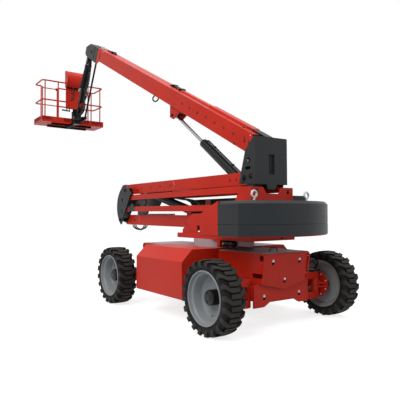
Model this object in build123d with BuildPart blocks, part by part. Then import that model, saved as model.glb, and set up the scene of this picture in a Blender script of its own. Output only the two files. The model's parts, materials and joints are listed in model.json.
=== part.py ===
"""Articulating boom lift, a four-wheeled machine with two folded risers, a telescopic boom, a jib and a platform.

Units are millimetres, +X runs from the counterweight to the platform, +Y is the machine's left, +Z is up and z = 0
is the ground. Side-view points are (x, z) pairs. Points of the upper structure are built up from the slew axis.
"""

import os
from math import atan2, cos, degrees, hypot, radians, sin, tan

from build123d import *

os.makedirs("parts", exist_ok=True)

# ---- Clearances ---------------------------------------------------------------------------------------------
seat = 0.3                  # between faces that rest on each other on separate pieces
pin_play = 0.5              # radial play of a pin in its eye
side_play = 6.0             # beside a plate that swings past another

# ---- Wheels and chassis ----------------------------------------------------------------------------------------
wheelbase = 2780
overall_width = 2490
tyre_diameter = 964
tyre_width = 320
lug_count = 20              # on each half of a tread
lug_height = 34
lug_width = 50
lug_overlap = 50            # a lug's reach past the middle of the tread
lug_lean = 52               # round the tyre, from a lug's inner end to its shoulder
tread_slope = 6             # fall of a lug's top towards the shoulder
rim_diameter = 692
rim_setback = 20            # from the tyre's faces to the rim's edges
rim_step = 56               # from the flange down to the barrel
rim_step_depth = 80
disc_depth = 195            # from the flange to the disc
disc_thickness = 20
hub_radius = 98
hub_depth = 120             # from the flange to the hub's face
chassis_half_length = 660
spine_bottom = 400
deck_top = 1030
deck_thickness = 30
deck_inset = 355            # from the tyres' outer faces
cover_inset = 170           # from the tyres' outer faces
cover_bottom = 340
cover_crease = 860
cover_overhang = 10
nose_reach = 1654
nose_width = 866
nose_top = 1007
nose_bottom = 600
nose_plate = 20
nose_slope = 9
nose_corner = 55
notch_depth = 245           # cut in from the nose plate's end
notch_height = 60
notch_bottom = 77           # above the nose plate's lower edge
lashing_radius = 40
lashing_height = 945
lashing_inset = 68
cover_plate = 8
keyhole_radius = 13
keyhole_drop = 34
axle_height = tyre_diameter / 2
axle_depth = 220
axle_beam_height = 190
kingpin_setback = 125       # from the tyre's inner face to the kingpin
yoke_reach = 270            # from the beam's end to the kingpin
steer_arm_inset = 110       # from the kingpin to the tie rod's end
yoke_height = 380
yoke_web = 42
yoke_depth = 140
kingpin_radius = 34
knuckle_height = 190
hub_flange_radius = 190
hub_flange = 24
steer_arm = 185
slew_radius = 480
slew_height = 120

# ---- Turntable ----------------------------------------------------------------------------------------------
slew_behind_middle = 250
counterweight_radius = 1655
counterweight_width = 1700
counterweight_front = 950
counterweight_bottom = 1240
counterweight_top = 1700
counterweight_chamfer = 40
counterweight_crease = 1370         # from the slew axis back to where the rear's curve starts
counterweight_seam = 150            # height of the seam above the bottom
seam_width = 8
bed_thickness = 14
tower_rear = 1110
tower_width = 804
tower_top = 1900
tower_plate = 20
tower_front = 760
cheek_gap = 512
cheek_plate = 20
cheek_reach = 778
cheek_top = 1539
cheek_foot = 1198
lifting_eye_spread = 1000
lifting_eye_radius = 46
lifting_eye_wire = 12
lifting_eye_chamfer = 8
panel_front = 550
panel_shoulder = 1530
hood_front = 1500
hood_inner = 410
hood_outer = 860
hood_top = 1800
hood_wall = 25
engine_length = 760
engine_width = 340
engine_height = 420

# ---- Risers and their links ------------------------------------------------------------------------------------
riser_foot = (-600, 1394)
riser_length = 3775
riser_slope = 0.4
riser_width = 300
riser_depth = 205
riser_wall = 10
riser_doubler = 4           # proud of the riser's own web
lower_doubler = 628         # back from the lower riser's tip
upper_doubler = 1656        # back from the upper riser's front pin
dimple_radius = 15
dimple_depth = 3
riser_pin = 38
link_inside = 370           # between the inner faces of a pair of links
link_outside = 500          # over the outer faces of a pair of links
link_depth = 100
link_pin = 24
lower_link_offset = (-215, 222)
knuckle_rise = (-211, 612)  # from the lower riser's tip to the upper riser's front pin
upper_length = 3797
upper_slope = 0.1
upper_link_offset = (-138, -158)
knuckle_plate = 30

# ---- Rear bracket and boom ------------------------------------------------------------------------------------
boom_pivot_offset = (-152, 412)     # from the upper riser's rear pin
lift_foot_offset = (218, -141)      # from the upper riser's rear pin
bracket_width = 612
bracket_plate = 20
bracket_back = 262                  # from the upper riser's rear pin
bracket_low = 99
bracket_high = 566
boom_angle = 27.5
boom_width = 300
boom_depth = 285
boom_wall = 9
boom_start = 200
boom_end = 6240
boom_pin = 35
boom_lug_plate = 25
boom_dimples = 7
boom_first_dimple = 622             # along the boom
boom_dimple_pitch = 265
boom_low_dimple = (536, -123)
lift_eye = (2506, -300)             # along and square to the boom
lift_barrel_radius = 75
lift_rod_radius = 32
lift_rod_out = 1040                  # from the barrel's end to the eye, as in the next two
riser_rod_out = 147
jib_rod_out = 75

# ---- Inner boom, jib and platform ------------------------------------------------------------------------------
inner_play = 14
inner_wall = 8
inner_end = 6620
boom_stroke = 3900
boom_overlap = 1440                 # of the two sections at full reach
nose_start = 6275
nose_end = 7224
head_width = 300
head_plate = 20
nose_depth = 230                    # below the boom's axis
level_pivot = (6971, -111)          # along and square to the boom
jib_root_offset = (310, 30)        # from the levelling pivot
jib_angle = -60
jib_length = 1680
jib_width = 120
jib_depth = 100
jib_ram_offset = (0, -250)
jib_ram_reach = 900
rotator_reach = 165                 # from the jib's tip to the rotator's axis
rotator_radius = 80
platform_gap = 150                  # from the rotator's axis to the platform
platform_depth = 700
platform_width = 1760
platform_floor = 100                # below the jib's tip
platform_height = 1140
rail_radius = 19
post_radius = 16
toe_height = 150


def polar(origin, length, angle, rise=0.0):
    """Point reached from origin by going length along angle and then rise square to it."""
    a = radians(angle)
    return (origin[0] + length * cos(a) - rise * sin(a), origin[1] + length * sin(a) + rise * cos(a))


def moved(point, offset):
    """Point moved by an (x, z) offset."""
    return (point[0] + offset[0], point[1] + offset[1])


# ---- Places, first from the slew axis and then in the row's frame ------------------------------------------------
def places(slew_x):
    """Every pin of the side view, with the slew axis at slew_x."""
    p = {}
    p["foot"] = (slew_x + riser_foot[0], riser_foot[1])
    p["lower_tip"] = polar(p["foot"], riser_length, riser_slope)
    p["lower_link_rear"] = moved(p["foot"], lower_link_offset)
    p["lower_link_front"] = moved(p["lower_tip"], lower_link_offset)
    p["upper_front"] = moved(p["lower_tip"], knuckle_rise)
    p["upper_rear"] = polar(p["upper_front"], upper_length, 180 - upper_slope)
    p["upper_link_front"] = moved(p["upper_front"], upper_link_offset)
    p["upper_link_rear"] = moved(p["upper_rear"], upper_link_offset)
    p["boom"] = moved(p["upper_rear"], boom_pivot_offset)
    p["lift_foot"] = moved(p["upper_rear"], lift_foot_offset)
    p["lift_eye"] = polar(p["boom"], lift_eye[0], boom_angle, lift_eye[1])
    p["level"] = polar(p["boom"], level_pivot[0], boom_angle, level_pivot[1])
    p["jib_root"] = moved(p["level"], jib_root_offset)
    p["jib_tip"] = polar(p["jib_root"], jib_length, jib_angle)
    p["jib_link_low"] = (p["jib_tip"][0] - jib_root_offset[0], p["jib_tip"][1] - jib_root_offset[1])
    p["jib_ram_foot"] = moved(p["jib_root"], jib_ram_offset)
    p["jib_ram_eye"] = polar(p["jib_root"], jib_ram_reach, jib_angle)
    p["rotator"] = moved(p["jib_tip"], (rotator_reach, 0))
    p["platform"] = moved(p["rotator"], (platform_gap, -platform_floor))
    return p


platform_reach = places(0)["platform"][0] + platform_depth
slew_x = (counterweight_radius - platform_reach) / 2
pin = places(slew_x)
middle_x = slew_x + slew_behind_middle
rear_axle_x = middle_x - wheelbase / 2
front_axle_x = middle_x + wheelbase / 2


# ---- Drawing helpers --------------------------------------------------------------------------------------------
def side_plane(origin=(0, 0), angle=0.0):
    """Side view with its origin at an (x, z) point and its first axis turned up by angle. Its normal is -Y."""
    a = radians(angle)
    return Plane(origin=(origin[0], 0, origin[1]), x_dir=(cos(a), 0, sin(a)), z_dir=(0, -1, 0))


side = side_plane()
boom_side = side_plane(pin["boom"], boom_angle)


def both(flank, near, far):
    """The lower and the higher y of a layer on one flank."""
    return (min(flank * near, flank * far), max(flank * near, flank * far))


def keyholes(*centres):
    """Keyhole openings in a sketch, each a round hole with a narrow slot above it for a stud."""
    with Locations(*centres):
        Circle(keyhole_radius, mode=Mode.SUBTRACT)
    with Locations(*[(x, y + keyhole_drop / 2) for x, y in centres]):
        Rectangle(keyhole_radius, keyhole_drop, mode=Mode.SUBTRACT)


def plate(points, y_from, y_to, plane=side, corner=0, mode=Mode.ADD):
    """Plate with an outline in the side view, between two y."""
    with BuildSketch(plane.offset(-y_to)) as outline:
        with BuildLine():
            if corner:
                FilletPolyline(*points, radius=corner, close=True)
            else:
                Polyline(*points, close=True)
        make_face()
    extrude(outline.sketch, amount=y_to - y_from, mode=mode)


def disc(centre, radius, y_from, y_to, plane=side, mode=Mode.ADD):
    """Round pin, boss or hole across the machine, between two y."""
    with BuildSketch(plane.offset(-y_to)) as outline:
        with Locations(centre):
            Circle(radius)
    extrude(outline.sketch, amount=y_to - y_from, mode=mode)


def strap(start, end, depth, y_from, y_to, plane=side, mode=Mode.ADD):
    """Bar with round ends about two points of the side view."""
    with BuildSketch(plane.offset(-y_to)) as outline:
        with Locations(((start[0] + end[0]) / 2, (start[1] + end[1]) / 2)):
            run = hypot(end[0] - start[0], end[1] - start[1])
            turn = degrees(atan2(end[1] - start[1], end[0] - start[0]))
            SlotCenterToCenter(run, depth, rotation=turn)
    extrude(outline.sketch, amount=y_to - y_from, mode=mode)


def dimple(centre, flank, surface, plane):
    """Shallow cone sunk in a flat side at y = flank * surface, as a plug weld leaves."""
    with BuildSketch(plane.offset(-flank * surface)) as mouth:
        with Locations(centre):
            Circle(dimple_radius)
    extrude(mouth.sketch, amount=flank * dimple_depth, taper=45, mode=Mode.SUBTRACT)


def block(x, y, z, mode=Mode.ADD):
    """Box between two x, two y and two z."""
    with Locations(((x[0] + x[1]) / 2, (y[0] + y[1]) / 2, (z[0] + z[1]) / 2)):
        Box(abs(x[1] - x[0]), abs(y[1] - y[0]), abs(z[1] - z[0]), mode=mode)


def tube(start, end, radius, mode=Mode.ADD):
    """Round bar between two points in space."""
    run = Vector(*end) - Vector(*start)
    with BuildSketch(Plane(origin=start, z_dir=run)) as section:
        Circle(radius)
    extrude(section.sketch, amount=run.length, mode=mode)


def save(builder, name):
    """Label a finished piece and write its STEP file."""
    builder.part.label = name
    export_step(builder.part, f"parts/{name}.step")


wheel_face = overall_width / 2
wheel_centre = (overall_width - tyre_width) / 2
tyre_inner = wheel_face - tyre_width
kingpin_offset = tyre_inner - kingpin_setback
beam_half = kingpin_offset - yoke_reach
deck_width = overall_width - 2 * deck_inset
cover_width = overall_width - 2 * cover_inset

# ---- Chassis ----------------------------------------------------------------------------------------------------
nose_foot = nose_reach - (nose_top - nose_bottom) * tan(radians(nose_slope))

with BuildPart() as chassis_frame:
    block(
        (middle_x - chassis_half_length, middle_x + chassis_half_length),
        (-nose_width / 2, nose_width / 2),
        (spine_bottom, deck_top - deck_thickness),
    )
    block(
        (middle_x - chassis_half_length - cover_overhang, middle_x + chassis_half_length + cover_overhang),
        (-deck_width / 2, deck_width / 2),
        (deck_top - deck_thickness, deck_top),
    )
    for end in (-1, 1):
        outline = [
            (middle_x + end * (chassis_half_length - 120), nose_top - 8),
            (middle_x + end * nose_reach, nose_top),
            (middle_x + end * nose_foot, nose_bottom),
            (middle_x + end * (wheelbase / 2 - 210), nose_bottom),
            (middle_x + end * (wheelbase / 2 - 350), spine_bottom + 80),
            (middle_x + end * (chassis_half_length - 120), spine_bottom + 40),
        ]
        for flank in (-1, 1):
            y0, y1 = both(flank, nose_width / 2 - nose_plate, nose_width / 2)
            plate(outline, y0, y1, corner=nose_corner)
            eye = (middle_x + end * (nose_reach - lashing_inset), lashing_height)
            disc(eye, lashing_radius, y0, y1, mode=Mode.SUBTRACT)
            notch_z = nose_bottom + notch_bottom
            block(
                (middle_x + end * (nose_reach - notch_depth), middle_x + end * nose_reach),
                (y0, y1),
                (notch_z, notch_z + notch_height),
                mode=Mode.SUBTRACT,
            )
save(chassis_frame, "chassis_frame")

with BuildPart() as slew_ring:
    with BuildSketch(Plane.XY.offset(deck_top + seat)):
        with Locations((slew_x, 0)):
            Circle(slew_radius)
            Circle(slew_radius - 90, mode=Mode.SUBTRACT)
    extrude(amount=slew_height - seat)
save(slew_ring, "slew_ring")

cover_gap = 2
for name, flank in (("left", 1), ("right", -1)):
    with BuildPart() as side_cover:
        with BuildSketch(Plane.YZ.offset(middle_x - chassis_half_length - cover_overhang)):
            with BuildLine():
                Polyline(
                    (flank * (nose_width / 2 + cover_gap), cover_bottom),
                    (flank * cover_width / 2, cover_bottom),
                    (flank * cover_width / 2, cover_crease),
                    (flank * (deck_width / 2 + cover_gap + 12), deck_top - 1),
                    (flank * (deck_width / 2 + cover_gap), deck_top - 1),
                    (flank * (deck_width / 2 + cover_gap), deck_top - deck_thickness - seat),
                    (flank * (nose_width / 2 + cover_gap), deck_top - deck_thickness - seat),
                    close=True,
                )
            make_face()
        extrude(amount=2 * (chassis_half_length + cover_overhang))
    save(side_cover, f"side_cover_{name}")

cover_inner = nose_width / 2 - nose_plate - seat
with BuildPart() as nose_covers:
    for end in (-1, 1):
        lean = radians(nose_slope)
        face = Plane(
            origin=(middle_x + end * (nose_reach - 22), 0, nose_top - 10),
            x_dir=(0, 1, 0),
            z_dir=(end * cos(lean), 0, -sin(lean)),
        )
        with BuildSketch(face) as cover_outline:
            with BuildLine():
                Polyline(
                    (-cover_inner, 0),
                    (cover_inner, 0),
                    (cover_inner, end * -400),
                    (0, end * -500),
                    (-cover_inner, end * -400),
                    close=True,
                )
            make_face()
            for y, z in ((-250, -125), (250, -125), (0, -385)):
                with Locations((y, end * z)):
                    Circle(keyhole_radius, mode=Mode.SUBTRACT)
                with Locations((y, end * (z + keyhole_drop / 2))):
                    Rectangle(keyhole_radius, keyhole_drop, mode=Mode.SUBTRACT)
        extrude(cover_outline.sketch, amount=-cover_plate)
save(nose_covers, "nose_covers")

with BuildPart() as nose_decks:
    for end in (-1, 1):
        block(
            (middle_x + end * (chassis_half_length + cover_overhang + 2), middle_x + end * (nose_reach - 60)),
            (-cover_inner, cover_inner),
            (nose_top - 9, nose_top + 1),
        )
save(nose_decks, "nose_decks")

# ---- Axles, knuckles and wheels -----------------------------------------------------------------------------------
beam_bottom = axle_height - axle_beam_height / 2
beam_top = axle_height + axle_beam_height / 2
yoke_inside = knuckle_height / 2 + seat
yoke_start = beam_half - 18
saddle_half = 70
saddle_width = 100
with BuildPart() as steer_axle:
    block(
        (rear_axle_x - axle_depth / 2, rear_axle_x + axle_depth / 2),
        (-beam_half, beam_half),
        (beam_bottom, beam_top),
    )
    for flank in (-1, 1):
        block(
            (rear_axle_x - saddle_half, rear_axle_x + saddle_half),
            (flank * (nose_width / 2 - saddle_width), flank * nose_width / 2),
            (axle_height, nose_bottom - seat),
        )
        with BuildSketch(Plane.YZ.offset(rear_axle_x - yoke_depth / 2)) as yoke:
            with BuildLine():
                FilletPolyline(
                    (flank * yoke_start, axle_height - yoke_height / 2),
                    (flank * kingpin_offset, axle_height - yoke_height / 2),
                    (flank * kingpin_offset, axle_height - yoke_inside),
                    (flank * (yoke_start + yoke_web), axle_height - yoke_inside),
                    (flank * (yoke_start + yoke_web), axle_height + yoke_inside),
                    (flank * kingpin_offset, axle_height + yoke_inside),
                    (flank * kingpin_offset, axle_height + yoke_height / 2),
                    (flank * yoke_start, axle_height + yoke_height / 2),
                    radius=yoke_web / 2 - 1,
                    close=True,
                )
            make_face()
        extrude(yoke.sketch, amount=yoke_depth)
        for low, high in ((-yoke_height / 2, -yoke_inside), (yoke_inside, yoke_height / 2)):
            with Locations((rear_axle_x, flank * kingpin_offset, axle_height + (low + high) / 2)):
                Cylinder(yoke_depth / 2, high - low)
        with Locations((rear_axle_x, flank * kingpin_offset, axle_height)):
            Cylinder(kingpin_radius, yoke_height)
save(steer_axle, "steer_axle")

hub_setback = 21                    # from the tyre's inner face
hub_inner = tyre_inner - hub_setback
with BuildPart() as drive_axle:
    tube((front_axle_x, -hub_inner, axle_height), (front_axle_x, hub_inner, axle_height), 75)
    with Locations((front_axle_x, 0, axle_height)):
        Sphere(150)
    for flank in (-1, 1):
        tube(
            (front_axle_x, flank * (hub_inner - 120), axle_height),
            (front_axle_x, flank * hub_inner, axle_height),
            150,
        )
        block(
            (front_axle_x - saddle_half, front_axle_x + saddle_half),
            (flank * (nose_width / 2 - saddle_width), flank * nose_width / 2),
            (axle_height, nose_bottom - seat),
        )
save(drive_axle, "drive_axle")

arm_x = rear_axle_x + steer_arm
arm_y = kingpin_offset - steer_arm_inset
arm_gap = 32
arm_plate = 18
tie_rod_radius = 14
for name, flank in (("left", 1), ("right", -1)):
    with BuildPart() as steer_knuckle:
        with Locations((rear_axle_x, flank * kingpin_offset, axle_height)):
            Cylinder(68, knuckle_height)
        y0, y1 = both(flank, hub_inner - hub_flange, hub_inner)
        with BuildSketch(side_plane((rear_axle_x, axle_height)).offset(-y1)) as flange:
            RegularPolygon(hub_flange_radius, 8, rotation=360 / 16)
        extrude(flange.sketch, amount=hub_flange)
        tube(
            (rear_axle_x, flank * kingpin_offset, axle_height),
            (rear_axle_x, flank * (hub_inner - hub_flange / 2), axle_height),
            70,
        )
        for low in (axle_height - arm_gap / 2 - arm_plate, axle_height + arm_gap / 2):
            with BuildSketch(Plane.XY.offset(low)) as arm:
                with BuildLine():
                    Polyline(
                        (rear_axle_x - 45, flank * (kingpin_offset - 50)),
                        (rear_axle_x - 150, flank * (hub_inner - hub_flange / 2)),
                        (rear_axle_x + 150, flank * (hub_inner - hub_flange / 2)),
                        (arm_x + 34, flank * (arm_y + 20)),
                        (arm_x + 34, flank * (arm_y - 30)),
                        (arm_x - 34, flank * (arm_y - 30)),
                        (rear_axle_x + 40, flank * (kingpin_offset - 60)),
                        close=True,
                    )
                make_face()
            extrude(arm.sketch, amount=arm_plate)
        with Locations((rear_axle_x, flank * kingpin_offset, axle_height)):
            Cylinder(kingpin_radius + pin_play, knuckle_height + 10, mode=Mode.SUBTRACT)
    save(steer_knuckle, f"steer_knuckle_{name}")

with BuildPart() as tie_rod:
    tube((arm_x, -arm_y, axle_height), (arm_x, arm_y, axle_height), tie_rod_radius)
    for flank in (-1, 1):
        with Locations((arm_x, flank * arm_y, axle_height)):
            Cylinder(26, arm_gap - 2 * seat)
save(tie_rod, "tie_rod")

tread_radius = tyre_diameter / 2
carcass_radius = tread_radius - lug_height
lug_depth = 1.5 * lug_height        # with what is buried in the carcass
rim_radius = rim_diameter / 2


def lug_planes(half, phase):
    """Work planes under the lugs of one half of a tread, tipped so that their tops fall to the shoulder."""
    tip = radians(tread_slope)
    foot = tread_radius - lug_overlap * sin(tip) - lug_depth * cos(tip)
    planes = []
    for k in range(lug_count):
        turn = radians((k + phase) * 360 / lug_count)
        out = Vector(cos(tip) * cos(turn), half * sin(tip), cos(tip) * sin(turn))
        across = Vector(-sin(tip) * cos(turn), half * cos(tip), -sin(tip) * sin(turn))
        planes.append(Plane(origin=(foot * cos(turn), 0, foot * sin(turn)), x_dir=across, z_dir=out))
    return planes


across_tyre = Plane.XZ.offset(-tyre_width / 2)
with BuildPart() as tyre_form:
    with BuildSketch(across_tyre):
        RegularPolygon(carcass_radius, 2 * lug_count, rotation=90 / lug_count)
    extrude(amount=tyre_width)
    for half, phase in ((1, 0), (-1, 0.5)):
        with BuildSketch(*lug_planes(half, phase)):
            Polygon(
                (-lug_overlap, -lug_width / 2),
                (tyre_width / 2 + lug_overlap, -half * lug_lean - lug_width / 2),
                (tyre_width / 2 + lug_overlap, -half * lug_lean + lug_width / 2),
                (-lug_overlap, lug_width / 2),
                align=None,
            )
        extrude(amount=lug_depth)
    with BuildSketch(across_tyre):
        Circle(tread_radius + lug_height)
    extrude(amount=tyre_width, mode=Mode.INTERSECT)
    with BuildSketch(across_tyre):
        Circle(rim_radius + seat)
    extrude(amount=tyre_width, mode=Mode.SUBTRACT)

flange_y = wheel_face - rim_setback
disc_y = flange_y - disc_depth
hub_y = flange_y - hub_depth
for end_name, axle_x in (("rear", rear_axle_x), ("front", front_axle_x)):
    for side_name, flank in (("left", 1), ("right", -1)):
        with BuildPart() as tyre:
            with Locations((axle_x, flank * wheel_centre, axle_height)):
                add(tyre_form.part)
        save(tyre, f"tyre_{end_name}_{side_name}")
        with BuildPart() as rim:
            with BuildSketch(Plane(origin=(axle_x, 0, axle_height), x_dir=(0, flank, 0), z_dir=(1, 0, 0))):
                with BuildLine():
                    Polyline(
                        (hub_inner + seat, 0),
                        (hub_inner + seat, 150),
                        (disc_y - disc_thickness, 170),
                        (disc_y - disc_thickness, rim_radius - rim_step - 12),
                        (tyre_inner + rim_setback, rim_radius - 30),
                        (tyre_inner + rim_setback, rim_radius),
                        (flange_y, rim_radius),
                        (flange_y, rim_radius - 12),
                        (flange_y - rim_step_depth, rim_radius - rim_step),
                        (disc_y + 30, rim_radius - rim_step - 6),
                        (disc_y, rim_radius - rim_step - 40),
                        (disc_y, hub_radius),
                        (hub_y - 12, hub_radius),
                        (hub_y, hub_radius - 20),
                        (hub_y, 0),
                        close=True,
                    )
                make_face()
            revolve(axis=Axis((axle_x, 0, axle_height), (0, 1, 0)))
        save(rim, f"rim_{end_name}_{side_name}")

cover_end = yoke_start
cover_low = axle_height - yoke_height / 2
with BuildPart() as axle_cover:
    with BuildSketch(Plane(origin=(rear_axle_x - axle_depth / 2 - 24, 0, 0), x_dir=(0, 1, 0), z_dir=(1, 0, 0))):
        with BuildLine():
            Polyline(
                (-cover_end, nose_bottom),
                (cover_end, nose_bottom),
                (cover_end, cover_low),
                (330, cover_low),
                (230, cover_low + 55),
                (-230, cover_low + 55),
                (-330, cover_low),
                (-cover_end, cover_low),
                close=True,
            )
        make_face()
        keyholes((-330, 408), (330, 408))
    extrude(amount=24 - seat)
save(axle_cover, "axle_cover")

# ---- Turntable ----------------------------------------------------------------------------------------------------
ring_top = deck_top + slew_height
bed_top = counterweight_bottom - seat
bed_bottom = bed_top - bed_thickness
cheek_y = cheek_gap / 2


with BuildPart() as turntable_frame:
    block((slew_x - tower_rear, slew_x + 700), (-430, 430), (ring_top + seat, bed_bottom))
    with BuildSketch(Plane.XY.offset(bed_bottom)) as bed:
        with BuildLine():
            a = Line((slew_x - 500, -hood_outer), (slew_x - 500, hood_outer - 20))
            b = Line(a @ 1, (slew_x - counterweight_front - 400, hood_outer - 20))
            arc = ThreePointArc(b @ 1, (slew_x - counterweight_radius + 20, 0), (slew_x - counterweight_front - 400, -hood_outer))
            Line(arc @ 1, a @ 0)
        make_face()
    extrude(bed.sketch, amount=bed_thickness)
    block((slew_x - 520, slew_x + hood_front), (-hood_outer, -300), (bed_bottom, bed_top))
    for flank in (-1, 1):
        y0, y1 = both(flank, cheek_y, cheek_y + cheek_plate)
        plate(
            [
                (slew_x - tower_rear, bed_bottom),
                (slew_x - tower_rear, 1760),
                (slew_x - 700, 1760),
                (slew_x - 480, cheek_top),
                (slew_x + cheek_reach - 307, cheek_top),
                (slew_x + cheek_reach - 196, cheek_top - 45),
                (slew_x + cheek_reach - 37, cheek_foot + 101),
                (slew_x + cheek_reach, cheek_foot + 75),
                (slew_x + cheek_reach, cheek_foot + 25),
                (slew_x + cheek_reach - 46, cheek_foot),
                (slew_x + cheek_reach - 160, cheek_foot),
                (slew_x + cheek_reach - 200, bed_bottom),
            ],
            y0,
            y1,
        )
        for back, bottom, width, height in ((113, 140, 16, 80), (463, 45, 78, 100)):
            block(
                (slew_x + cheek_reach - back - width / 2, slew_x + cheek_reach - back + width / 2),
                (y0, y1),
                (cheek_foot + bottom, cheek_foot + bottom + height),
                mode=Mode.SUBTRACT,
            )
        y0, y1 = both(flank, riser_width / 2 + side_play, cheek_y)
        disc(pin["foot"], 70, y0, y1)
        y0, y1 = both(flank, link_inside / 2 - 4, cheek_y)
        disc(pin["lower_link_rear"], link_pin, y0, y1)
        y0, y1 = both(flank, tower_width / 2 - tower_plate, tower_width / 2)
        plate(
            [
                (slew_x - tower_rear, bed_top - 2),
                (slew_x - tower_rear, tower_top),
                (slew_x - 880, tower_top),
                (slew_x - tower_front, 1700),
                (slew_x - tower_front, bed_top - 2),
            ],
            y0,
            y1,
        )
    disc(pin["foot"], riser_pin, -cheek_y, cheek_y)
    with BuildSketch(Plane(origin=(slew_x - tower_rear, 0, 0), x_dir=(0, 1, 0), z_dir=(1, 0, 0))) as tower:
        with BuildLine():
            Polyline(
                (-tower_width / 2, bed_top - 2),
                (-tower_width / 2, tower_top),
                (-180, tower_top),
                (-120, tower_top - 90),
                (120, tower_top - 90),
                (180, tower_top),
                (tower_width / 2, tower_top),
                (tower_width / 2, bed_top - 2),
                close=True,
            )
        make_face()
        keyholes((-300, tower_top - 60), (300, tower_top - 60))
    extrude(tower.sketch, amount=tower_plate)
save(turntable_frame, "turntable_frame")

def counterweight_slab(inset, low, high):
    """Slice of the counterweight between two z, with its outline drawn in by inset all round."""
    half = counterweight_width / 2 - inset
    front_x = slew_x - counterweight_front - inset
    crease_x = slew_x - counterweight_crease
    with BuildSketch(Plane.XY.offset(low)) as plan:
        with BuildLine():
            front = Line((front_x, -half), (front_x, half))
            flank_line = Line(front @ 1, (crease_x, half))
            rear_middle = (slew_x - counterweight_radius + inset, 0)
            rear_arc = ThreePointArc(flank_line @ 1, rear_middle, (crease_x, -half))
            Line(rear_arc @ 1, front @ 0)
        make_face()
    extrude(plan.sketch, amount=high - low)


with BuildPart() as counterweight:
    seam_low = counterweight_bottom + counterweight_seam - seam_width / 2
    seam_high = seam_low + seam_width
    counterweight_slab(0, counterweight_bottom, seam_low)
    counterweight_slab(seam_width, seam_low, seam_high)
    counterweight_slab(0, seam_high, counterweight_top)
    chamfer(counterweight.faces().sort_by(Axis.Z)[-1].edges(), counterweight_chamfer)
    with BuildSketch(Plane.XY.offset(counterweight_bottom)):
        with Locations((slew_x - tower_rear + 200, 0)):
            Rectangle(406, tower_width + 8)
    extrude(amount=counterweight_top - counterweight_bottom, mode=Mode.SUBTRACT)
save(counterweight, "counterweight")

eye_x = slew_x - 1280
eye_centre_z = counterweight_top + 90
with BuildPart() as lifting_eyes:
    for flank in (-1, 1):
        y = flank * lifting_eye_spread / 2
        with BuildSketch(Plane(origin=(eye_x, y, eye_centre_z), x_dir=(0, 1, 0), z_dir=(1, 0, 0))) as eye:
            Circle(lifting_eye_radius + lifting_eye_wire)
            Circle(lifting_eye_radius - lifting_eye_wire, mode=Mode.SUBTRACT)
        extrude(eye.sketch, amount=lifting_eye_wire, both=True)
    rims = lifting_eyes.edges().filter_by(GeomType.CIRCLE).filter_by(lambda edge: edge.radius > lifting_eye_radius)
    chamfer(rims, lifting_eye_chamfer)
    for flank in (-1, 1):
        y = flank * lifting_eye_spread / 2
        tube(
            (eye_x, y, counterweight_top + seat),
            (eye_x, y, eye_centre_z - lifting_eye_radius),
            16,
        )
save(lifting_eyes, "lifting_eyes")

with BuildPart() as side_panel:
    plate(
        [
            (slew_x - counterweight_front + 2, counterweight_bottom),
            (slew_x - panel_front, counterweight_bottom),
            (slew_x - panel_front, panel_shoulder),
            (slew_x - counterweight_front + 2, counterweight_top),
        ],
        tower_width / 2 + 4,
        counterweight_width / 2,
    )
save(side_panel, "side_panel")

hood_rear = counterweight_front - 10
door_from = -600
door_to = 1250
with BuildPart() as hood:
    block((slew_x - hood_rear, slew_x + hood_front), (-hood_outer, -hood_inner), (counterweight_bottom, hood_top))
    block(
        (slew_x - hood_rear + hood_wall, slew_x + hood_front - hood_wall),
        (-hood_outer + hood_wall, -hood_inner - hood_wall),
        (counterweight_bottom - 5, hood_top - hood_wall),
        mode=Mode.SUBTRACT,
    )
    block(
        (slew_x + door_from, slew_x + door_to),
        (-hood_outer - 5, -hood_outer + hood_wall + 5),
        (counterweight_bottom + 60, hood_top - 60),
        mode=Mode.SUBTRACT,
    )
save(hood, "hood")

door_gap = 6
door_hinge_z = hood_top - 60 - door_gap
with BuildPart() as hood_door:
    block(
        (slew_x + door_from + door_gap, slew_x + door_to - door_gap),
        (-hood_outer, -hood_outer + hood_wall),
        (counterweight_bottom + 60 + door_gap, hood_top - 60 - door_gap),
    )
    for x in (door_from + 200, door_to - 300):
        tube((slew_x + x, -hood_outer, door_hinge_z), (slew_x + x + 100, -hood_outer, door_hinge_z), door_gap - seat)
save(hood_door, "hood_door")

with BuildPart() as engine:
    block(
        (slew_x - 300, slew_x - 300 + engine_length),
        (-hood_inner - 40 - engine_width, -hood_inner - 40),
        (counterweight_bottom, counterweight_bottom + engine_height),
    )
save(engine, "engine")

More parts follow.
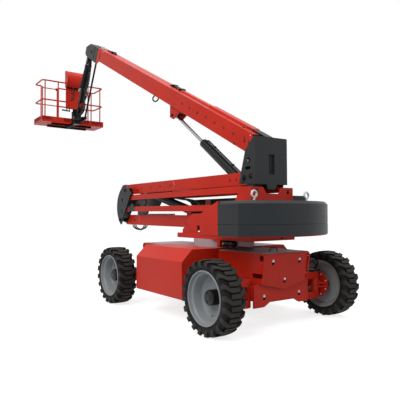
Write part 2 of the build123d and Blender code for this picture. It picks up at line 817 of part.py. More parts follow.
# ---- Lower riser and lower link --------------------------------------------------------------------------------------
web = riser_width / 2
skin = web - riser_doubler
doubler_round = 94
lower_side = side_plane(pin["foot"], riser_slope)
riser_ram_foot = polar(pin["foot"], 1410, riser_slope, 160)
ram_pin = 26
with BuildPart() as lower_riser:
    for flank in (-1, 1):
        y0, y1 = both(flank, skin - riser_wall, skin)
        plate(
            [(-40, -70), (120, -100), (riser_length - 60, -100), (riser_length + 55, -40),
             (riser_length + 55, 50), (riser_length - 30, 105), (120, 105), (-40, 70)],
            y0,
            y1,
            plane=lower_side,
        )
        y0, y1 = both(flank, skin - 1, web)
        round_end = riser_length - lower_doubler + doubler_round
        plate(
            [(round_end, -doubler_round), (riser_length - 60, -doubler_round), (riser_length + 47, -38),
             (riser_length + 47, 46), (riser_length - 33, doubler_round), (round_end, doubler_round)],
            y0,
            y1,
            plane=lower_side,
        )
        disc((round_end, 0), doubler_round, y0, y1, plane=lower_side)
        for back in (418, 113):
            dimple((riser_length - back, 10), flank, web, lower_side)
    for z in (-100, 95):
        plate(
            [(110, z), (riser_length - 130, z), (riser_length - 130, z + riser_wall), (110, z + riser_wall)],
            -skin + 1,
            skin - 1,
            plane=lower_side,
        )
    for x in (0, riser_length):
        disc((x, 0), 60, -web, web, plane=lower_side)
        disc((x, 0), riser_pin + pin_play, -web - 1, web + 1, plane=lower_side, mode=Mode.SUBTRACT)
    for flank in (-1, 1):
        y0, y1 = both(flank, 92, 122)
        plate([(1330, 100), (1490, 100), (1455, 200), (1365, 200)], y0, y1, plane=lower_side, corner=15)
    disc(riser_ram_foot, ram_pin, -107, 107)
save(lower_riser, "lower_riser")


def link_pair(rear, front, name):
    """Pair of flat-sided bars on two pins, tied by a cross bar near each end."""
    with BuildPart() as pair:
        for flank in (-1, 1):
            y0, y1 = both(flank, link_inside / 2, link_outside / 2)
            strap(rear, front, link_depth, y0, y1)
            disc(rear, link_pin + pin_play, y0 - 1, y1 + 1, mode=Mode.SUBTRACT)
            disc(front, link_pin + pin_play, y0 - 1, y1 + 1, mode=Mode.SUBTRACT)
    save(pair, name)


link_pair(pin["lower_link_rear"], pin["lower_link_front"], "lower_link")
link_pair(pin["upper_link_rear"], pin["upper_link_front"], "upper_link")

# ---- Front knuckle ---------------------------------------------------------------------------------------------------
knuckle_inner = cheek_y
knuckle_outer = knuckle_inner + knuckle_plate
tip = pin["lower_tip"]
with BuildPart() as front_knuckle:
    for flank in (-1, 1):
        y0, y1 = both(flank, knuckle_inner, knuckle_outer)
        with BuildSketch(side.offset(-y1)) as lens:
            with BuildLine():
                nose_curve = ThreePointArc(moved(tip, (-30, -97)), moved(tip, (121, 420)), moved(tip, (-225, 718)))
                rear_line = Polyline(nose_curve @ 1, moved(tip, (-494, 524)), moved(tip, (-356, 345)), nose_curve @ 0)
            make_face()
            with Locations(moved(tip, (-129, 408)), moved(tip, (-111, 166))):
                Circle(34, mode=Mode.SUBTRACT)
        extrude(lens.sketch, amount=knuckle_plate)
        y0, y1 = both(flank, link_inside / 2 - 4, knuckle_inner)
        disc(pin["lower_link_front"], link_pin, y0, y1)
        disc(pin["upper_link_front"], link_pin, y0, y1)
    disc(tip, riser_pin, -knuckle_inner, knuckle_inner)
    disc(pin["upper_front"], riser_pin, -knuckle_inner, knuckle_inner)
save(front_knuckle, "front_knuckle")

casting_inner = riser_width / 2 + side_play
casting_outer = link_inside / 2 - side_play
with BuildPart() as knuckle_casting:
    for flank in (-1, 1):
        y0, y1 = both(flank, casting_inner, casting_outer)
        with BuildSketch(side.offset(-y1)) as shape:
            with BuildLine():
                FilletPolyline(
                    moved(tip, (60, -50)),
                    moved(tip, (40, 200)),
                    moved(tip, (-110, 650)),
                    moved(tip, (-280, 660)),
                    moved(tip, (-420, 425)),
                    moved(tip, (-880, 425)),
                    moved(tip, (-945, 350)),
                    moved(tip, (-880, 280)),
                    moved(tip, (-380, 265)),
                    moved(tip, (-90, -50)),
                    radius=30,
                    close=True,
                )
            make_face()
            with Locations(tip, pin["upper_front"]):
                Circle(riser_pin + seat, mode=Mode.SUBTRACT)
        extrude(shape.sketch, amount=y1 - y0)
save(knuckle_casting, "knuckle_casting")

# ---- Upper riser -----------------------------------------------------------------------------------------------------
upper_side = side_plane(pin["upper_rear"], -upper_slope)
with BuildPart() as upper_riser:
    for flank in (-1, 1):
        y0, y1 = both(flank, skin - riser_wall, skin)
        plate(
            [(-55, -50), (60, -90), (upper_length - 40, -85), (upper_length + 55, -30),
             (upper_length + 60, 60), (upper_length + 20, 125), (60, 98), (-55, 50)],
            y0,
            y1,
            plane=upper_side,
        )
        y0, y1 = both(flank, skin - 1, web)
        plate(
            [(upper_length - upper_doubler, -82), (upper_length - 40, -79), (upper_length + 48, -28),
             (upper_length + 52, 58), (upper_length + 16, 117), (upper_length - upper_doubler, 104),
             (upper_length - upper_doubler - 83, 14)],
            y0,
            y1,
            plane=upper_side,
        )
        for k in range(4):
            dimple((upper_length - upper_doubler + 68 + k * 364, 20), flank, web, upper_side)
        for x in (343, 496):
            dimple((x, 0), flank, skin, upper_side)
    for x0, x1, low, tilt in ((980, upper_length - 1297, -90, 3), (2080, upper_length - 100, 102, 12)):
        plate(
            [(x0, low), (x1, low + tilt), (x1, low + tilt + riser_wall), (x0, low + riser_wall)],
            -skin + 1,
            skin - 1,
            plane=upper_side,
        )
    for flank in (-1, 1):
        y0, y1 = both(flank, 90, 110)
        eye_x0 = upper_length - 420
        plate(
            [(eye_x0 - 130, 110), (eye_x0 - 50, -88), (eye_x0 + 50, -88), (eye_x0 + 130, 110)],
            y0,
            y1,
            plane=upper_side,
        )
    for flank in (-1, 1):
        y0, y1 = both(flank, 135, web)
        disc((0, 0), 60, y0, y1, plane=upper_side)
        disc((0, 0), riser_pin + pin_play, y0 - 1, y1 + 1, plane=upper_side, mode=Mode.SUBTRACT)
        y0, y1 = both(flank, 120, web)
        disc((upper_length, 0), 60, y0, y1, plane=upper_side)
        disc((upper_length, 0), riser_pin + pin_play, y0 - 1, y1 + 1, plane=upper_side, mode=Mode.SUBTRACT)
save(upper_riser, "upper_riser")

# ---- Rear bracket ----------------------------------------------------------------------------------------------------
cheek_in = bracket_width / 2 - bracket_plate
back = pin["upper_rear"]
rear_x = back[0] - bracket_back
low_z, top_z = back[1] - bracket_low, back[1] + bracket_high
ear_in, ear_out = 85, 105
with BuildPart() as rear_bracket:
    for flank in (-1, 1):
        y0, y1 = both(flank, cheek_in, cheek_in + bracket_plate)
        plate(
            [(rear_x, low_z), (rear_x + 355, low_z + 20), (rear_x + 215, top_z - 180), (rear_x + 35, top_z), (rear_x, top_z)],
            y0,
            y1,
        )
        disc((rear_x + 145, low_z + 340), 35, y0, y1, mode=Mode.SUBTRACT)
        strap((rear_x + 120, low_z + 230), (rear_x + 190, low_z + 230), 44, y0, y1, mode=Mode.SUBTRACT)
        link_x, link_z = pin["upper_link_rear"]
        y0, y1 = both(flank, link_outside / 2 + 4, cheek_in)
        plate(
            [(rear_x + 30, low_z + 120), (link_x - 50, link_z - 40), (link_x + 50, link_z - 40), (rear_x + 260, low_z + 120)],
            y0,
            y1,
        )
        y0, y1 = both(flank, link_inside / 2 - 4, cheek_in - 5)
        disc((link_x, link_z), link_pin, y0, y1)
        y0, y1 = both(flank, boom_width / 2 + side_play, cheek_in)
        disc(pin["boom"], 60, y0, y1)
        disc(back, 60, y0, y1)
        foot_x, foot_z = pin["lift_foot"]
        y0, y1 = both(flank, ear_in, ear_out)
        plate(
            [(rear_x + 10, low_z + 190), (rear_x + 10, low_z + 10), (foot_x - 40, foot_z - 50), (foot_x + 45, foot_z - 40),
             (foot_x + 45, foot_z + 40), moved(back, (60, 60))],
            y0,
            y1,
        )
    disc(pin["boom"], boom_pin, -cheek_in, cheek_in)
    disc(back, riser_pin, -cheek_in, cheek_in)
    disc(pin["lift_foot"], 30, -ear_out, ear_out)
    with BuildSketch(Plane(origin=(rear_x, 0, low_z), x_dir=(0, 1, 0), z_dir=(1, 0, 0))) as rear_plate:
        with BuildLine():
            Polyline(
                (-cheek_in, 0),
                (-cheek_in, bracket_low + bracket_high),
                (cheek_in, bracket_low + bracket_high),
                (cheek_in, 0),
                (100, 0),
                (70, -70),
                (-70, -70),
                (-100, 0),
                close=True,
            )
        make_face()
        with Locations((0, 280)):
            Rectangle(110, 280, mode=Mode.SUBTRACT)
    extrude(rear_plate.sketch, amount=bracket_plate)
save(rear_bracket, "rear_bracket")


# ---- Cylinders --------------------------------------------------------------------------------------------------------
def cylinder(foot, eye, barrel_radius, rod_radius, barrel_from, rod_out, rod_from, pin_radius, width, name, y=0.0):
    """Hydraulic cylinder between two points of the side view, as a barrel on its foot and a rod with its eye.

    The barrel starts barrel_from past its foot and ends rod_out short of the eye.
    """
    run = hypot(eye[0] - foot[0], eye[1] - foot[1])
    turn = degrees(atan2(eye[1] - foot[1], eye[0] - foot[0]))
    view = side_plane(foot, turn)
    start = Plane(origin=(foot[0], y, foot[1]), z_dir=(cos(radians(turn)), 0, sin(radians(turn))))
    foot_half = max(width / 2, barrel_radius) + 5
    barrel_length = run - rod_out - barrel_from
    with BuildPart() as barrel:
        disc((0, 0), pin_radius + 22, y - width / 2, y + width / 2, plane=view)
        with BuildSketch(start) as neck:
            Circle(pin_radius + 14)
        extrude(neck.sketch, amount=barrel_from + 5)
        with BuildSketch(start.offset(barrel_from)) as outer:
            Circle(barrel_radius)
        extrude(outer.sketch, amount=barrel_length)
        with BuildSketch(start.offset(barrel_from + 40)) as bore:
            Circle(rod_radius + pin_play)
        extrude(bore.sketch, amount=barrel_length, mode=Mode.SUBTRACT)
        disc((0, 0), pin_radius + pin_play, y - foot_half, y + foot_half, plane=view, mode=Mode.SUBTRACT)
    save(barrel, f"{name}_barrel")
    with BuildPart() as rod:
        with BuildSketch(start.offset(rod_from)) as shaft:
            Circle(rod_radius)
        extrude(shaft.sketch, amount=run - rod_from)
        disc((run, 0), pin_radius + 18, y - width / 2, y + width / 2, plane=view)
    save(rod, f"{name}_rod")


riser_ram_eye = polar(pin["upper_front"], 420, 180 - upper_slope, 40)
cylinder(riser_ram_foot, riser_ram_eye, 75, 38, 130, riser_rod_out, 190, ram_pin, 170, "riser_ram")
cylinder(
    pin["lift_foot"], pin["lift_eye"], lift_barrel_radius, lift_rod_radius, 90, lift_rod_out, 420, 30, 150, "lift_ram"
)

# ---- Boom --------------------------------------------------------------------------------------------------------------
half_w, half_d = boom_width / 2, boom_depth / 2
inner_w = half_w - boom_wall - inner_play
inner_d = half_d - boom_wall - inner_play
inner_start = boom_end - boom_overlap - boom_stroke
pad_length = 120
boom_square = Plane(
    origin=(pin["boom"][0], 0, pin["boom"][1]),
    x_dir=(0, 1, 0),
    z_dir=(cos(radians(boom_angle)), 0, sin(radians(boom_angle))),
)


def wear_pads(start, gap):
    """Four pads between the two boom sections, from start along the boom and gap away from the inner one."""
    thick = inner_play - pin_play
    with BuildSketch(boom_square.offset(start)) as pads:
        for turn, reach, width in ((0, inner_w, inner_d), (90, inner_d, inner_w)):
            with PolarLocations(reach + gap + thick / 2, 2, start_angle=turn):
                Rectangle(thick, width)
    extrude(pads.sketch, amount=pad_length)


with BuildPart() as main_boom:
    wear_pads(boom_end - pad_length - 20, pin_play)
    with BuildSketch(boom_square.offset(boom_start)) as section:
        Rectangle(boom_width, boom_depth)
        Rectangle(boom_width - 2 * boom_wall, boom_depth - 2 * boom_wall, mode=Mode.SUBTRACT)
    extrude(section.sketch, amount=boom_end - boom_start)
    for flank in (-1, 1):
        y0, y1 = both(flank, half_w - boom_lug_plate, half_w)
        plate(
            [(0, -78), (boom_start + 150, -half_d), (boom_start + 150, half_d), (0, 78)],
            y0,
            y1,
            plane=boom_side,
        )
        disc((0, 0), 78, y0, y1, plane=boom_side)
        disc((0, 0), boom_pin + pin_play, y0 - 1, y1 + 1, plane=boom_side, mode=Mode.SUBTRACT)
        y0, y1 = both(flank, 82, 107)
        plate(
            [(lift_eye[0] - 240, -half_d + 4), (lift_eye[0] - 60, lift_eye[1] - 55),
             (lift_eye[0] + 60, lift_eye[1] - 55), (lift_eye[0] + 160, -half_d + 4)],
            y0,
            y1,
            plane=boom_side,
        )
        row = [(boom_first_dimple + k * boom_dimple_pitch, 0) for k in range(boom_dimples)]
        for centre in row + [boom_low_dimple]:
            dimple(centre, flank, half_w, boom_side)
save(main_boom, "main_boom")

head_y = head_width / 2
with BuildPart() as inner_boom:
    wear_pads(inner_start, 0)
    with BuildSketch(boom_square.offset(inner_start)) as section:
        Rectangle(2 * inner_w, 2 * inner_d)
        Rectangle(2 * (inner_w - inner_wall), 2 * (inner_d - inner_wall), mode=Mode.SUBTRACT)
    extrude(section.sketch, amount=inner_end - inner_start)
    for flank in (-1, 1):
        y0, y1 = both(flank, head_y - head_plate, head_y)
        plate(
            [(nose_start, half_d), (nose_end - 264, half_d), (nose_end, 16), (nose_end, -half_d), (nose_end - 74, -nose_depth + 40),
             (nose_start + 120, -nose_depth), (nose_start, -half_d)],
            y0,
            y1,
            plane=boom_side,
        )
        y0, y1 = both(flank, inner_w - 1, head_y)
        plate([(nose_start, -inner_d), (inner_end, -inner_d), (inner_end, inner_d), (nose_start, inner_d)], y0, y1, plane=boom_side)
        y0, y1 = both(flank, 101, head_y)
        disc(level_pivot, 48, y0, y1, plane=boom_side)
    plate([(nose_start, half_d - 12), (nose_end - 264, half_d - 12), (nose_end - 264, half_d), (nose_start, half_d)], -head_y, head_y, plane=boom_side)
    disc(level_pivot, 28, -head_y, head_y, plane=boom_side)
save(inner_boom, "inner_boom")

# ---- Jib ---------------------------------------------------------------------------------------------------------------
root, jib_end = pin["jib_root"], pin["jib_tip"]
base_half = 35
link_near, link_far = -95, -70
ram_y = 95
with BuildPart() as jib_base:
    for start, end, depth in (
        (pin["level"], root, 84),
        (root, pin["jib_ram_foot"], 80),
    ):
        strap(start, end, depth, -base_half, base_half)
    disc(pin["level"], 28 + pin_play, -base_half - 1, base_half + 1, mode=Mode.SUBTRACT)
    disc(root, 25 + pin_play, -base_half - 1, base_half + 1, mode=Mode.SUBTRACT)
    disc(pin["jib_ram_foot"], 20, 0, ram_y + 32)
save(jib_base, "jib_base")

jib_plane = side_plane(root, jib_angle)
jib_half = jib_width / 2
with BuildPart() as jib:
    plate([(210, -jib_depth / 2), (jib_length - 130, -jib_depth / 2), (jib_length - 130, jib_depth / 2), (210, jib_depth / 2)],
          -jib_half, jib_half, plane=jib_plane)
    for flank in (-1, 1):
        y0, y1 = both(flank, base_half + 2, jib_half)
        strap((0, 0), (260, 0), jib_depth - 10, y0, y1, plane=jib_plane)
    disc((0, 0), 25, -jib_half, jib_half, plane=jib_plane)
    strap((jib_length - 180, 0), (jib_length, 0), jib_depth - 10, -jib_half, jib_half, plane=jib_plane)
    disc((jib_length, 0), 25 + pin_play, -jib_half - 1, jib_half + 1, plane=jib_plane, mode=Mode.SUBTRACT)
save(jib, "jib")

with BuildPart() as jib_link:
    strap(pin["level"], pin["jib_link_low"], 62, link_near, link_far)
    disc(pin["level"], 48, link_near, link_far)
    disc(pin["level"], 28 + pin_play, link_near - 1, link_far + 1, mode=Mode.SUBTRACT)
    disc(pin["jib_link_low"], 20 + pin_play, link_near - 1, link_far + 1, mode=Mode.SUBTRACT)
save(jib_link, "jib_link")

cylinder(pin["jib_ram_foot"], pin["jib_ram_eye"], 30, 16, 50, jib_rod_out, 110, 20, 48, "jib_ram", y=ram_y)

# ---- Platform bracket and platform --------------------------------------------------------------------------------------
low = pin["jib_link_low"]
post_x, post_z = pin["rotator"]
cheek_plane_in = 100
post_bottom = post_z - platform_floor - 40
post_top = post_z + 260
with BuildPart() as platform_bracket:
    y0, y1 = both(-1, cheek_plane_in, cheek_plane_in + 18)
    plate([moved(low, (-45, -40)), moved(jib_end, (90, -70)), moved(jib_end, (90, 70)), moved(low, (-45, 45))], y0, y1)
    y0, y1 = both(1, cheek_plane_in, cheek_plane_in + 18)
    plate([moved(jib_end, (-60, -60)), moved(jib_end, (90, -70)), moved(jib_end, (90, 70)), moved(jib_end, (-60, 60))], y0, y1)
    for flank in (-1, 1):
        y0, y1 = both(flank, jib_half + 2, cheek_plane_in)
        disc(jib_end, 40, y0, y1)
    disc(jib_end, 25, -cheek_plane_in, cheek_plane_in)
    disc(low, 20, -cheek_plane_in - 5, link_far + 2)
    block((jib_end[0] + 53, jib_end[0] + 75), (-cheek_plane_in - 18, cheek_plane_in + 18), (post_bottom, post_top))
    for z in (post_bottom, post_top - 30):
        block((jib_end[0] + 60, post_x), (-60, 60), (z, z + 30))
        with Locations((post_x, 0, z + 15)):
            Cylinder(60, 30)
    tube((post_x, 0, post_bottom), (post_x, 0, post_top), 40)
save(platform_bracket, "platform_bracket")

near_x = pin["platform"][0]
far_x = near_x + platform_depth
floor_z = pin["platform"][1]
half_p = platform_width / 2
rail_top = floor_z + platform_height
sleeve_bottom = post_bottom + 30 + seat
sleeve_top = post_top - 30 - seat
with BuildPart() as platform_support:
    with BuildSketch(Plane.XY.offset(sleeve_bottom)) as sleeve:
        with Locations((post_x, 0)):
            Circle(rotator_radius)
            Circle(40 + pin_play, mode=Mode.SUBTRACT)
    extrude(sleeve.sketch, amount=sleeve_top - sleeve_bottom)
    block((post_x + 70, near_x - seat), (-60, 60), (floor_z - 20, sleeve_top))
    block((post_x + 70, far_x - 100), (-60, 60), (floor_z - 42, floor_z - seat))
    for flank in (-1, 1):
        block((near_x + 120, near_x + 200), (0, flank * 560), (floor_z - 42, floor_z - seat))
        block((far_x - 200, far_x - 120), (0, flank * 560), (floor_z - 42, floor_z - seat))
save(platform_support, "platform_support")

with BuildPart() as platform_floor_pan:
    block((near_x, far_x), (-half_p, half_p), (floor_z, floor_z + 12))
    for y in (-half_p, half_p - 6):
        block((near_x, far_x), (y, y + 6), (floor_z, floor_z + toe_height))
    block((near_x, near_x + 6), (-half_p, half_p), (floor_z, floor_z + toe_height))
    block((far_x - 6, far_x), (-half_p, half_p), (floor_z, floor_z + toe_height))
save(platform_floor_pan, "platform_floor")

gate_from, gate_to = 200, 700
rail_z = rail_top - rail_radius
mid_z = floor_z + 600
foot_z = floor_z + 12 + seat
rail_inset = rail_radius + 7
xa, xb = near_x + rail_inset, far_x - rail_inset
yb = half_p - rail_inset
rail_corner = 70
gate_play = 8
gate_radius = 15
lug_thick = 12
gate_low, gate_high = floor_z + toe_height + 40, rail_top - 30
gate_latch_y = gate_from + rail_radius + gate_play + gate_radius
gate_hinge_y = gate_to - rail_radius - gate_play - gate_radius


def rail_line(points, radius):
    """Round bar swept along straight runs with bent corners."""
    with BuildLine() as line:
        FilletPolyline(*points, radius=radius)
    start_plane = Plane(origin=line.wire() @ 0, z_dir=line.wire() % 0)
    with BuildSketch(start_plane) as section:
        Circle(rail_radius)
    sweep(section.sketch, path=line.wire())


with BuildPart() as platform_rails:
    for z in (rail_z, mid_z):
        rail_line(
            [(xb, gate_from, z), (xb, -yb, z), (xa, -yb, z), (xa, yb, z), (xb, yb, z), (xb, gate_to, z)],
            rail_corner,
        )
    for x, y in (
        (xa, -yb + rail_corner), (xa, yb - rail_corner), (xb, -yb + rail_corner), (xb, gate_from + 4), (xb, gate_to - 4),
        (xa, -yb / 2), (xa, yb / 2), (xb, -yb / 3),
    ):
        tube((x, y, foot_z), (x, y, rail_z), post_radius)
    for z in (gate_low - lug_thick - seat, gate_high + seat):
        block((xb - 10, xb + 10), (gate_hinge_y - 10, gate_to - 4), (z, z + lug_thick))
save(platform_rails, "platform_rails")

with BuildPart() as gate:
    for y in (gate_latch_y, gate_hinge_y):
        tube((xb, y, gate_low), (xb, y, gate_high), gate_radius)
    for z in (gate_low + 30, mid_z, gate_high - 30):
        tube((xb, gate_latch_y, z), (xb, gate_hinge_y, z), gate_radius - 1)
save(gate, "gate")

console_half = 260
console_low = rail_top - 210
with BuildPart() as console:
    with BuildSketch(side.offset(-console_half)) as shell_side:
        with BuildLine():
            FilletPolyline(
                (near_x + 7 - seat, console_low),
                (near_x + 7 - seat, rail_top + 120),
                (near_x - 70, rail_top + 120),
                (near_x - 165, rail_top + 20),
                (near_x - 165, console_low),
                radius=40,
                close=True,
            )
        make_face()
    extrude(shell_side.sketch, amount=2 * console_half)
    block((near_x - 12, near_x - 1), (-console_half + 20, console_half - 40), (floor_z + 420, console_low + 10))
save(console, "console")
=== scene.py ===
"""Articulating boom lift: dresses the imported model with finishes, tyres, rims, hoses and fittings."""
import json
from math import cos, pi, radians, sin, tau

import bmesh
import bpy
import numpy as np
from mathutils import Matrix, Vector


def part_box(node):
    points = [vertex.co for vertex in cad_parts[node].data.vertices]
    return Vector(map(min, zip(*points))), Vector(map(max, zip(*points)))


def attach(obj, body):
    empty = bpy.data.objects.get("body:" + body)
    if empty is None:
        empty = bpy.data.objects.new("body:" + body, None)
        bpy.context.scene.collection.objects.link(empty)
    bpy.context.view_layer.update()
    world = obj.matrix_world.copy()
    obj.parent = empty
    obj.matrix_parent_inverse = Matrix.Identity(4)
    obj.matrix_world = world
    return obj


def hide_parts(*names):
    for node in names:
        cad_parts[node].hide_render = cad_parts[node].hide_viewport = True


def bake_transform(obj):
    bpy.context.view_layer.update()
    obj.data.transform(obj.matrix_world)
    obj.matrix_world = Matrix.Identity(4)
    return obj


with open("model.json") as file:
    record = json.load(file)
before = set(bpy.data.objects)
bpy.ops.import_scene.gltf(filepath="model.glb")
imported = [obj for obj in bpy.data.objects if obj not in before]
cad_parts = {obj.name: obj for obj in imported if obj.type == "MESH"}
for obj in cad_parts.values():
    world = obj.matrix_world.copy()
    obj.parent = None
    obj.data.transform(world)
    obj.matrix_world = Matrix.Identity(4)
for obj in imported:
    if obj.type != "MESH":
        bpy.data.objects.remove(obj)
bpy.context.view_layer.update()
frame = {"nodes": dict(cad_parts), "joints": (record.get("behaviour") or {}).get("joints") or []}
nodes = frame["nodes"]
pivot = {joint["name"]: np.array(joint["pos_m"]) for joint in frame["joints"] if "pos_m" in joint}
travel = {joint["name"]: np.array(joint["axis"], float) for joint in frame["joints"]}
across = np.array((0.0, 1.0, 0.0))
upward = np.array((0.0, 0.0, 1.0))
forward = np.array((1.0, 0.0, 0.0))
sides = {"left": 1, "right": -1}
flanks = tuple(sides.values())


def unit(vectors):
    """Vectors scaled to length one."""
    vectors = np.asarray(vectors, float)
    return vectors / np.linalg.norm(vectors, axis=-1, keepdims=True)


def along(start, end):
    """Place on an arm, from the distance along it, the height square to it and y, with its line and rise."""
    line = unit(end - start)
    rise = np.array((-line[2], 0.0, line[0]))

    def place(distance, height=0.0, y=0.0):
        """Start + distance times the line + height times the rise + y across."""
        return start + distance * line + height * rise + y * across

    return place, line, rise


link_front = pivot["knuckle_hinge"] + pivot["lower_link_hinge"] - pivot["riser_lift"]
on_boom, boom_line, boom_rise = along(pivot["boom_luff"], pivot["boom_luff"] + travel["boom_extend"])
on_upper, upper_line, upper_rise = along(pivot["bracket_hinge"], pivot["upper_riser_hinge"])
on_jib, jib_line, jib_rise = along(pivot["jib_luff"], pivot["platform_level_hinge"])
on_lift_ram, _, lift_rise = along(pivot["lift_ram_hinge"], pivot["lift_ram_hinge"] + travel["lift_ram_slide"])
on_riser_ram, _, _ = along(pivot["riser_ram_hinge"], pivot["riser_ram_hinge"] + travel["riser_ram_slide"])
on_lower, _, _ = along(pivot["riser_lift"], pivot["knuckle_hinge"])
upper_length = np.linalg.norm(pivot["upper_riser_hinge"] - pivot["bracket_hinge"])
lower_length = np.linalg.norm(pivot["knuckle_hinge"] - pivot["riser_lift"])
boom_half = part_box("main_boom")[1][1]
riser_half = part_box("upper_riser")[1][1]

# ---- Camera ------------------------------------------------------------------
camera_place = (-8.7583, 4.6265, 1.5228)
camera_yaw = radians(-35.30746)
camera_pitch = radians(1.76964)
camera_roll = radians(-0.252597)
camera_lens = 42.175
camera_sensor = 36


def make_camera():
    """Camera from its yaw, pitch and roll: the view line, then right and up turned about it by the roll."""
    flat = cos(camera_pitch)
    line = Vector((cos(camera_yaw) * flat, sin(camera_yaw) * flat, sin(camera_pitch)))
    level = Vector((sin(camera_yaw), -cos(camera_yaw), 0))
    top = level.cross(line)
    right = cos(camera_roll) * level + sin(camera_roll) * top
    up = cos(camera_roll) * top - sin(camera_roll) * level
    data = bpy.data.cameras.new("camera")
    data.lens = camera_lens
    data.sensor_width = camera_sensor
    data.clip_end = 200
    camera = bpy.data.objects.new("camera", data)
    turn = Matrix((right, up, -line)).transposed().to_4x4()
    camera.matrix_world = Matrix.Translation(camera_place) @ turn
    bpy.context.scene.collection.objects.link(camera)
    bpy.context.scene.camera = camera


# ---- Shader groups -----------------------------------------------------------
def group(name, inputs, outputs):
    """Empty shader node group with named sockets; returns it with its input and output nodes."""
    tree = bpy.data.node_groups.new(name, "ShaderNodeTree")
    for label, value in inputs:
        socket = tree.interface.new_socket(label, in_out="INPUT", socket_type="NodeSocketFloat")
        socket.default_value = value
    for label, kind in outputs:
        tree.interface.new_socket(label, in_out="OUTPUT", socket_type=kind)
    return tree, tree.nodes.new("NodeGroupInput"), tree.nodes.new("NodeGroupOutput")


def add(tree, kind, links=(), **settings):
    """Node of a kind with settings; links are (input, source) pairs, a source being a socket or a value."""
    node = tree.nodes.new(kind)
    for key, value in settings.items():
        setattr(node, key, value)
    for key, source in links:
        if isinstance(source, bpy.types.NodeSocket):
            tree.links.new(source, node.inputs[key])
        else:
            node.inputs[key].default_value = source
    return node


def math(tree, operation, *sources, clamp=False):
    """Output of a Math node."""
    node = add(tree, "ShaderNodeMath", enumerate(sources), operation=operation, use_clamp=clamp)
    return node.outputs[0]


def noise(tree, scale, detail=3.0, stretch=(1.0, 1.0, 1.0)):
    """Noise value on object coordinates, stretched along each axis."""
    place = add(tree, "ShaderNodeTexCoord").outputs["Object"]
    mapped = add(tree, "ShaderNodeMapping", [("Vector", place), ("Scale", stretch)]).outputs[0]
    links = [("Vector", mapped), ("Scale", scale), ("Detail", detail)]
    return add(tree, "ShaderNodeTexNoise", links).outputs["Fac"]


def ramp(tree, value, low, high):
    """Value mapped from low..high to 0..1, clamped and smooth."""
    links = [("Value", value), ("From Min", low), ("From Max", high)]
    return add(tree, "ShaderNodeMapRange", links, interpolation_type="SMOOTHSTEP").outputs[0]


def make_edges_group():
    """Soft edges: a normal rounded within Radius, and a noisy mask where it leaves the flat one."""
    tree, given, result = group(
        "worn_edges", [("Radius", 0.004), ("Wear", 0.5)],
        [("Normal", "NodeSocketVector"), ("Mask", "NodeSocketFloat")],
    )
    bevel = add(tree, "ShaderNodeBevel", [("Radius", given.outputs["Radius"])], samples=6)
    flat = add(tree, "ShaderNodeNewGeometry").outputs["True Normal"]
    facing = add(tree, "ShaderNodeVectorMath", [(0, bevel.outputs[0]), (1, flat)], operation="DOT_PRODUCT")
    bend = math(tree, "SUBTRACT", 1.0, facing.outputs["Value"])
    broken = ramp(tree, noise(tree, 14.0, 6.0), 0.46, 0.68)
    mask = math(tree, "MULTIPLY", ramp(tree, bend, 0.015, 0.14), broken)
    mask = math(tree, "MULTIPLY", mask, given.outputs["Wear"], clamp=True)
    tree.links.new(bevel.outputs[0], result.inputs["Normal"])
    tree.links.new(mask, result.inputs["Mask"])
    return tree


def make_dust_group():
    """Settled dust: more on upturned faces and low down, broken by broad and fine noise."""
    tree, given, result = group(
        "settled_dust", [("Amount", 0.3), ("Low", 0.3)], [("Mask", "NodeSocketFloat")]
    )
    normal = add(tree, "ShaderNodeNewGeometry").outputs["Normal"]
    facing_up = add(tree, "ShaderNodeSeparateXYZ", [(0, normal)]).outputs["Z"]
    place = add(tree, "ShaderNodeTexCoord").outputs["Object"]
    height = add(tree, "ShaderNodeSeparateXYZ", [(0, place)]).outputs["Z"]
    settled = math(tree, "MULTIPLY", ramp(tree, facing_up, 0.35, 1.0), given.outputs["Amount"])
    splashed = math(tree, "MULTIPLY", ramp(tree, height, 0.9, 0.15), given.outputs["Low"])
    broad = ramp(tree, noise(tree, 2.2, 5.0), 0.3, 0.75)
    fine = ramp(tree, noise(tree, 38.0, 4.0), 0.2, 0.8)
    patchy = math(tree, "ADD", math(tree, "MULTIPLY", broad, 0.65), math(tree, "MULTIPLY", fine, 0.35))
    mask = math(tree, "MULTIPLY", math(tree, "ADD", settled, splashed), patchy, clamp=True)
    tree.links.new(mask, result.inputs["Mask"])
    return tree


def make_grain_group():
    """Sprayed surface: a fine ripple for height, and a broad drift for tone."""
    tree, given, result = group(
        "sprayed_grain", [("Ripple", 260.0), ("Drift", 1.6)],
        [("Height", "NodeSocketFloat"), ("Tone", "NodeSocketFloat")],
    )
    tree.links.new(noise(tree, given.outputs["Ripple"], 2.0), result.inputs["Height"])
    tree.links.new(ramp(tree, noise(tree, given.outputs["Drift"], 4.0), 0.25, 0.75), result.inputs["Tone"])
    return tree


edges_group = make_edges_group()
dust_group = make_dust_group()
grain_group = make_grain_group()
dust_colour = (0.36, 0.31, 0.25, 1)


def place_group(tree, made, **values):
    """A shader group placed in a material with its own values."""
    node = tree.nodes.new("ShaderNodeGroup")
    node.node_tree = made
    for label, value in values.items():
        node.inputs[label].default_value = value
    return node


def mix_colour(tree, factor, first, second):
    """Output of a colour Mix node between two colours or sockets."""
    node = tree.nodes.new("ShaderNodeMix")
    node.data_type = "RGBA"
    for index, source in ((0, factor), (6, first), (7, second)):
        if isinstance(source, bpy.types.NodeSocket):
            tree.links.new(source, node.inputs[index])
        else:
            node.inputs[index].default_value = source
    return node.outputs[2]


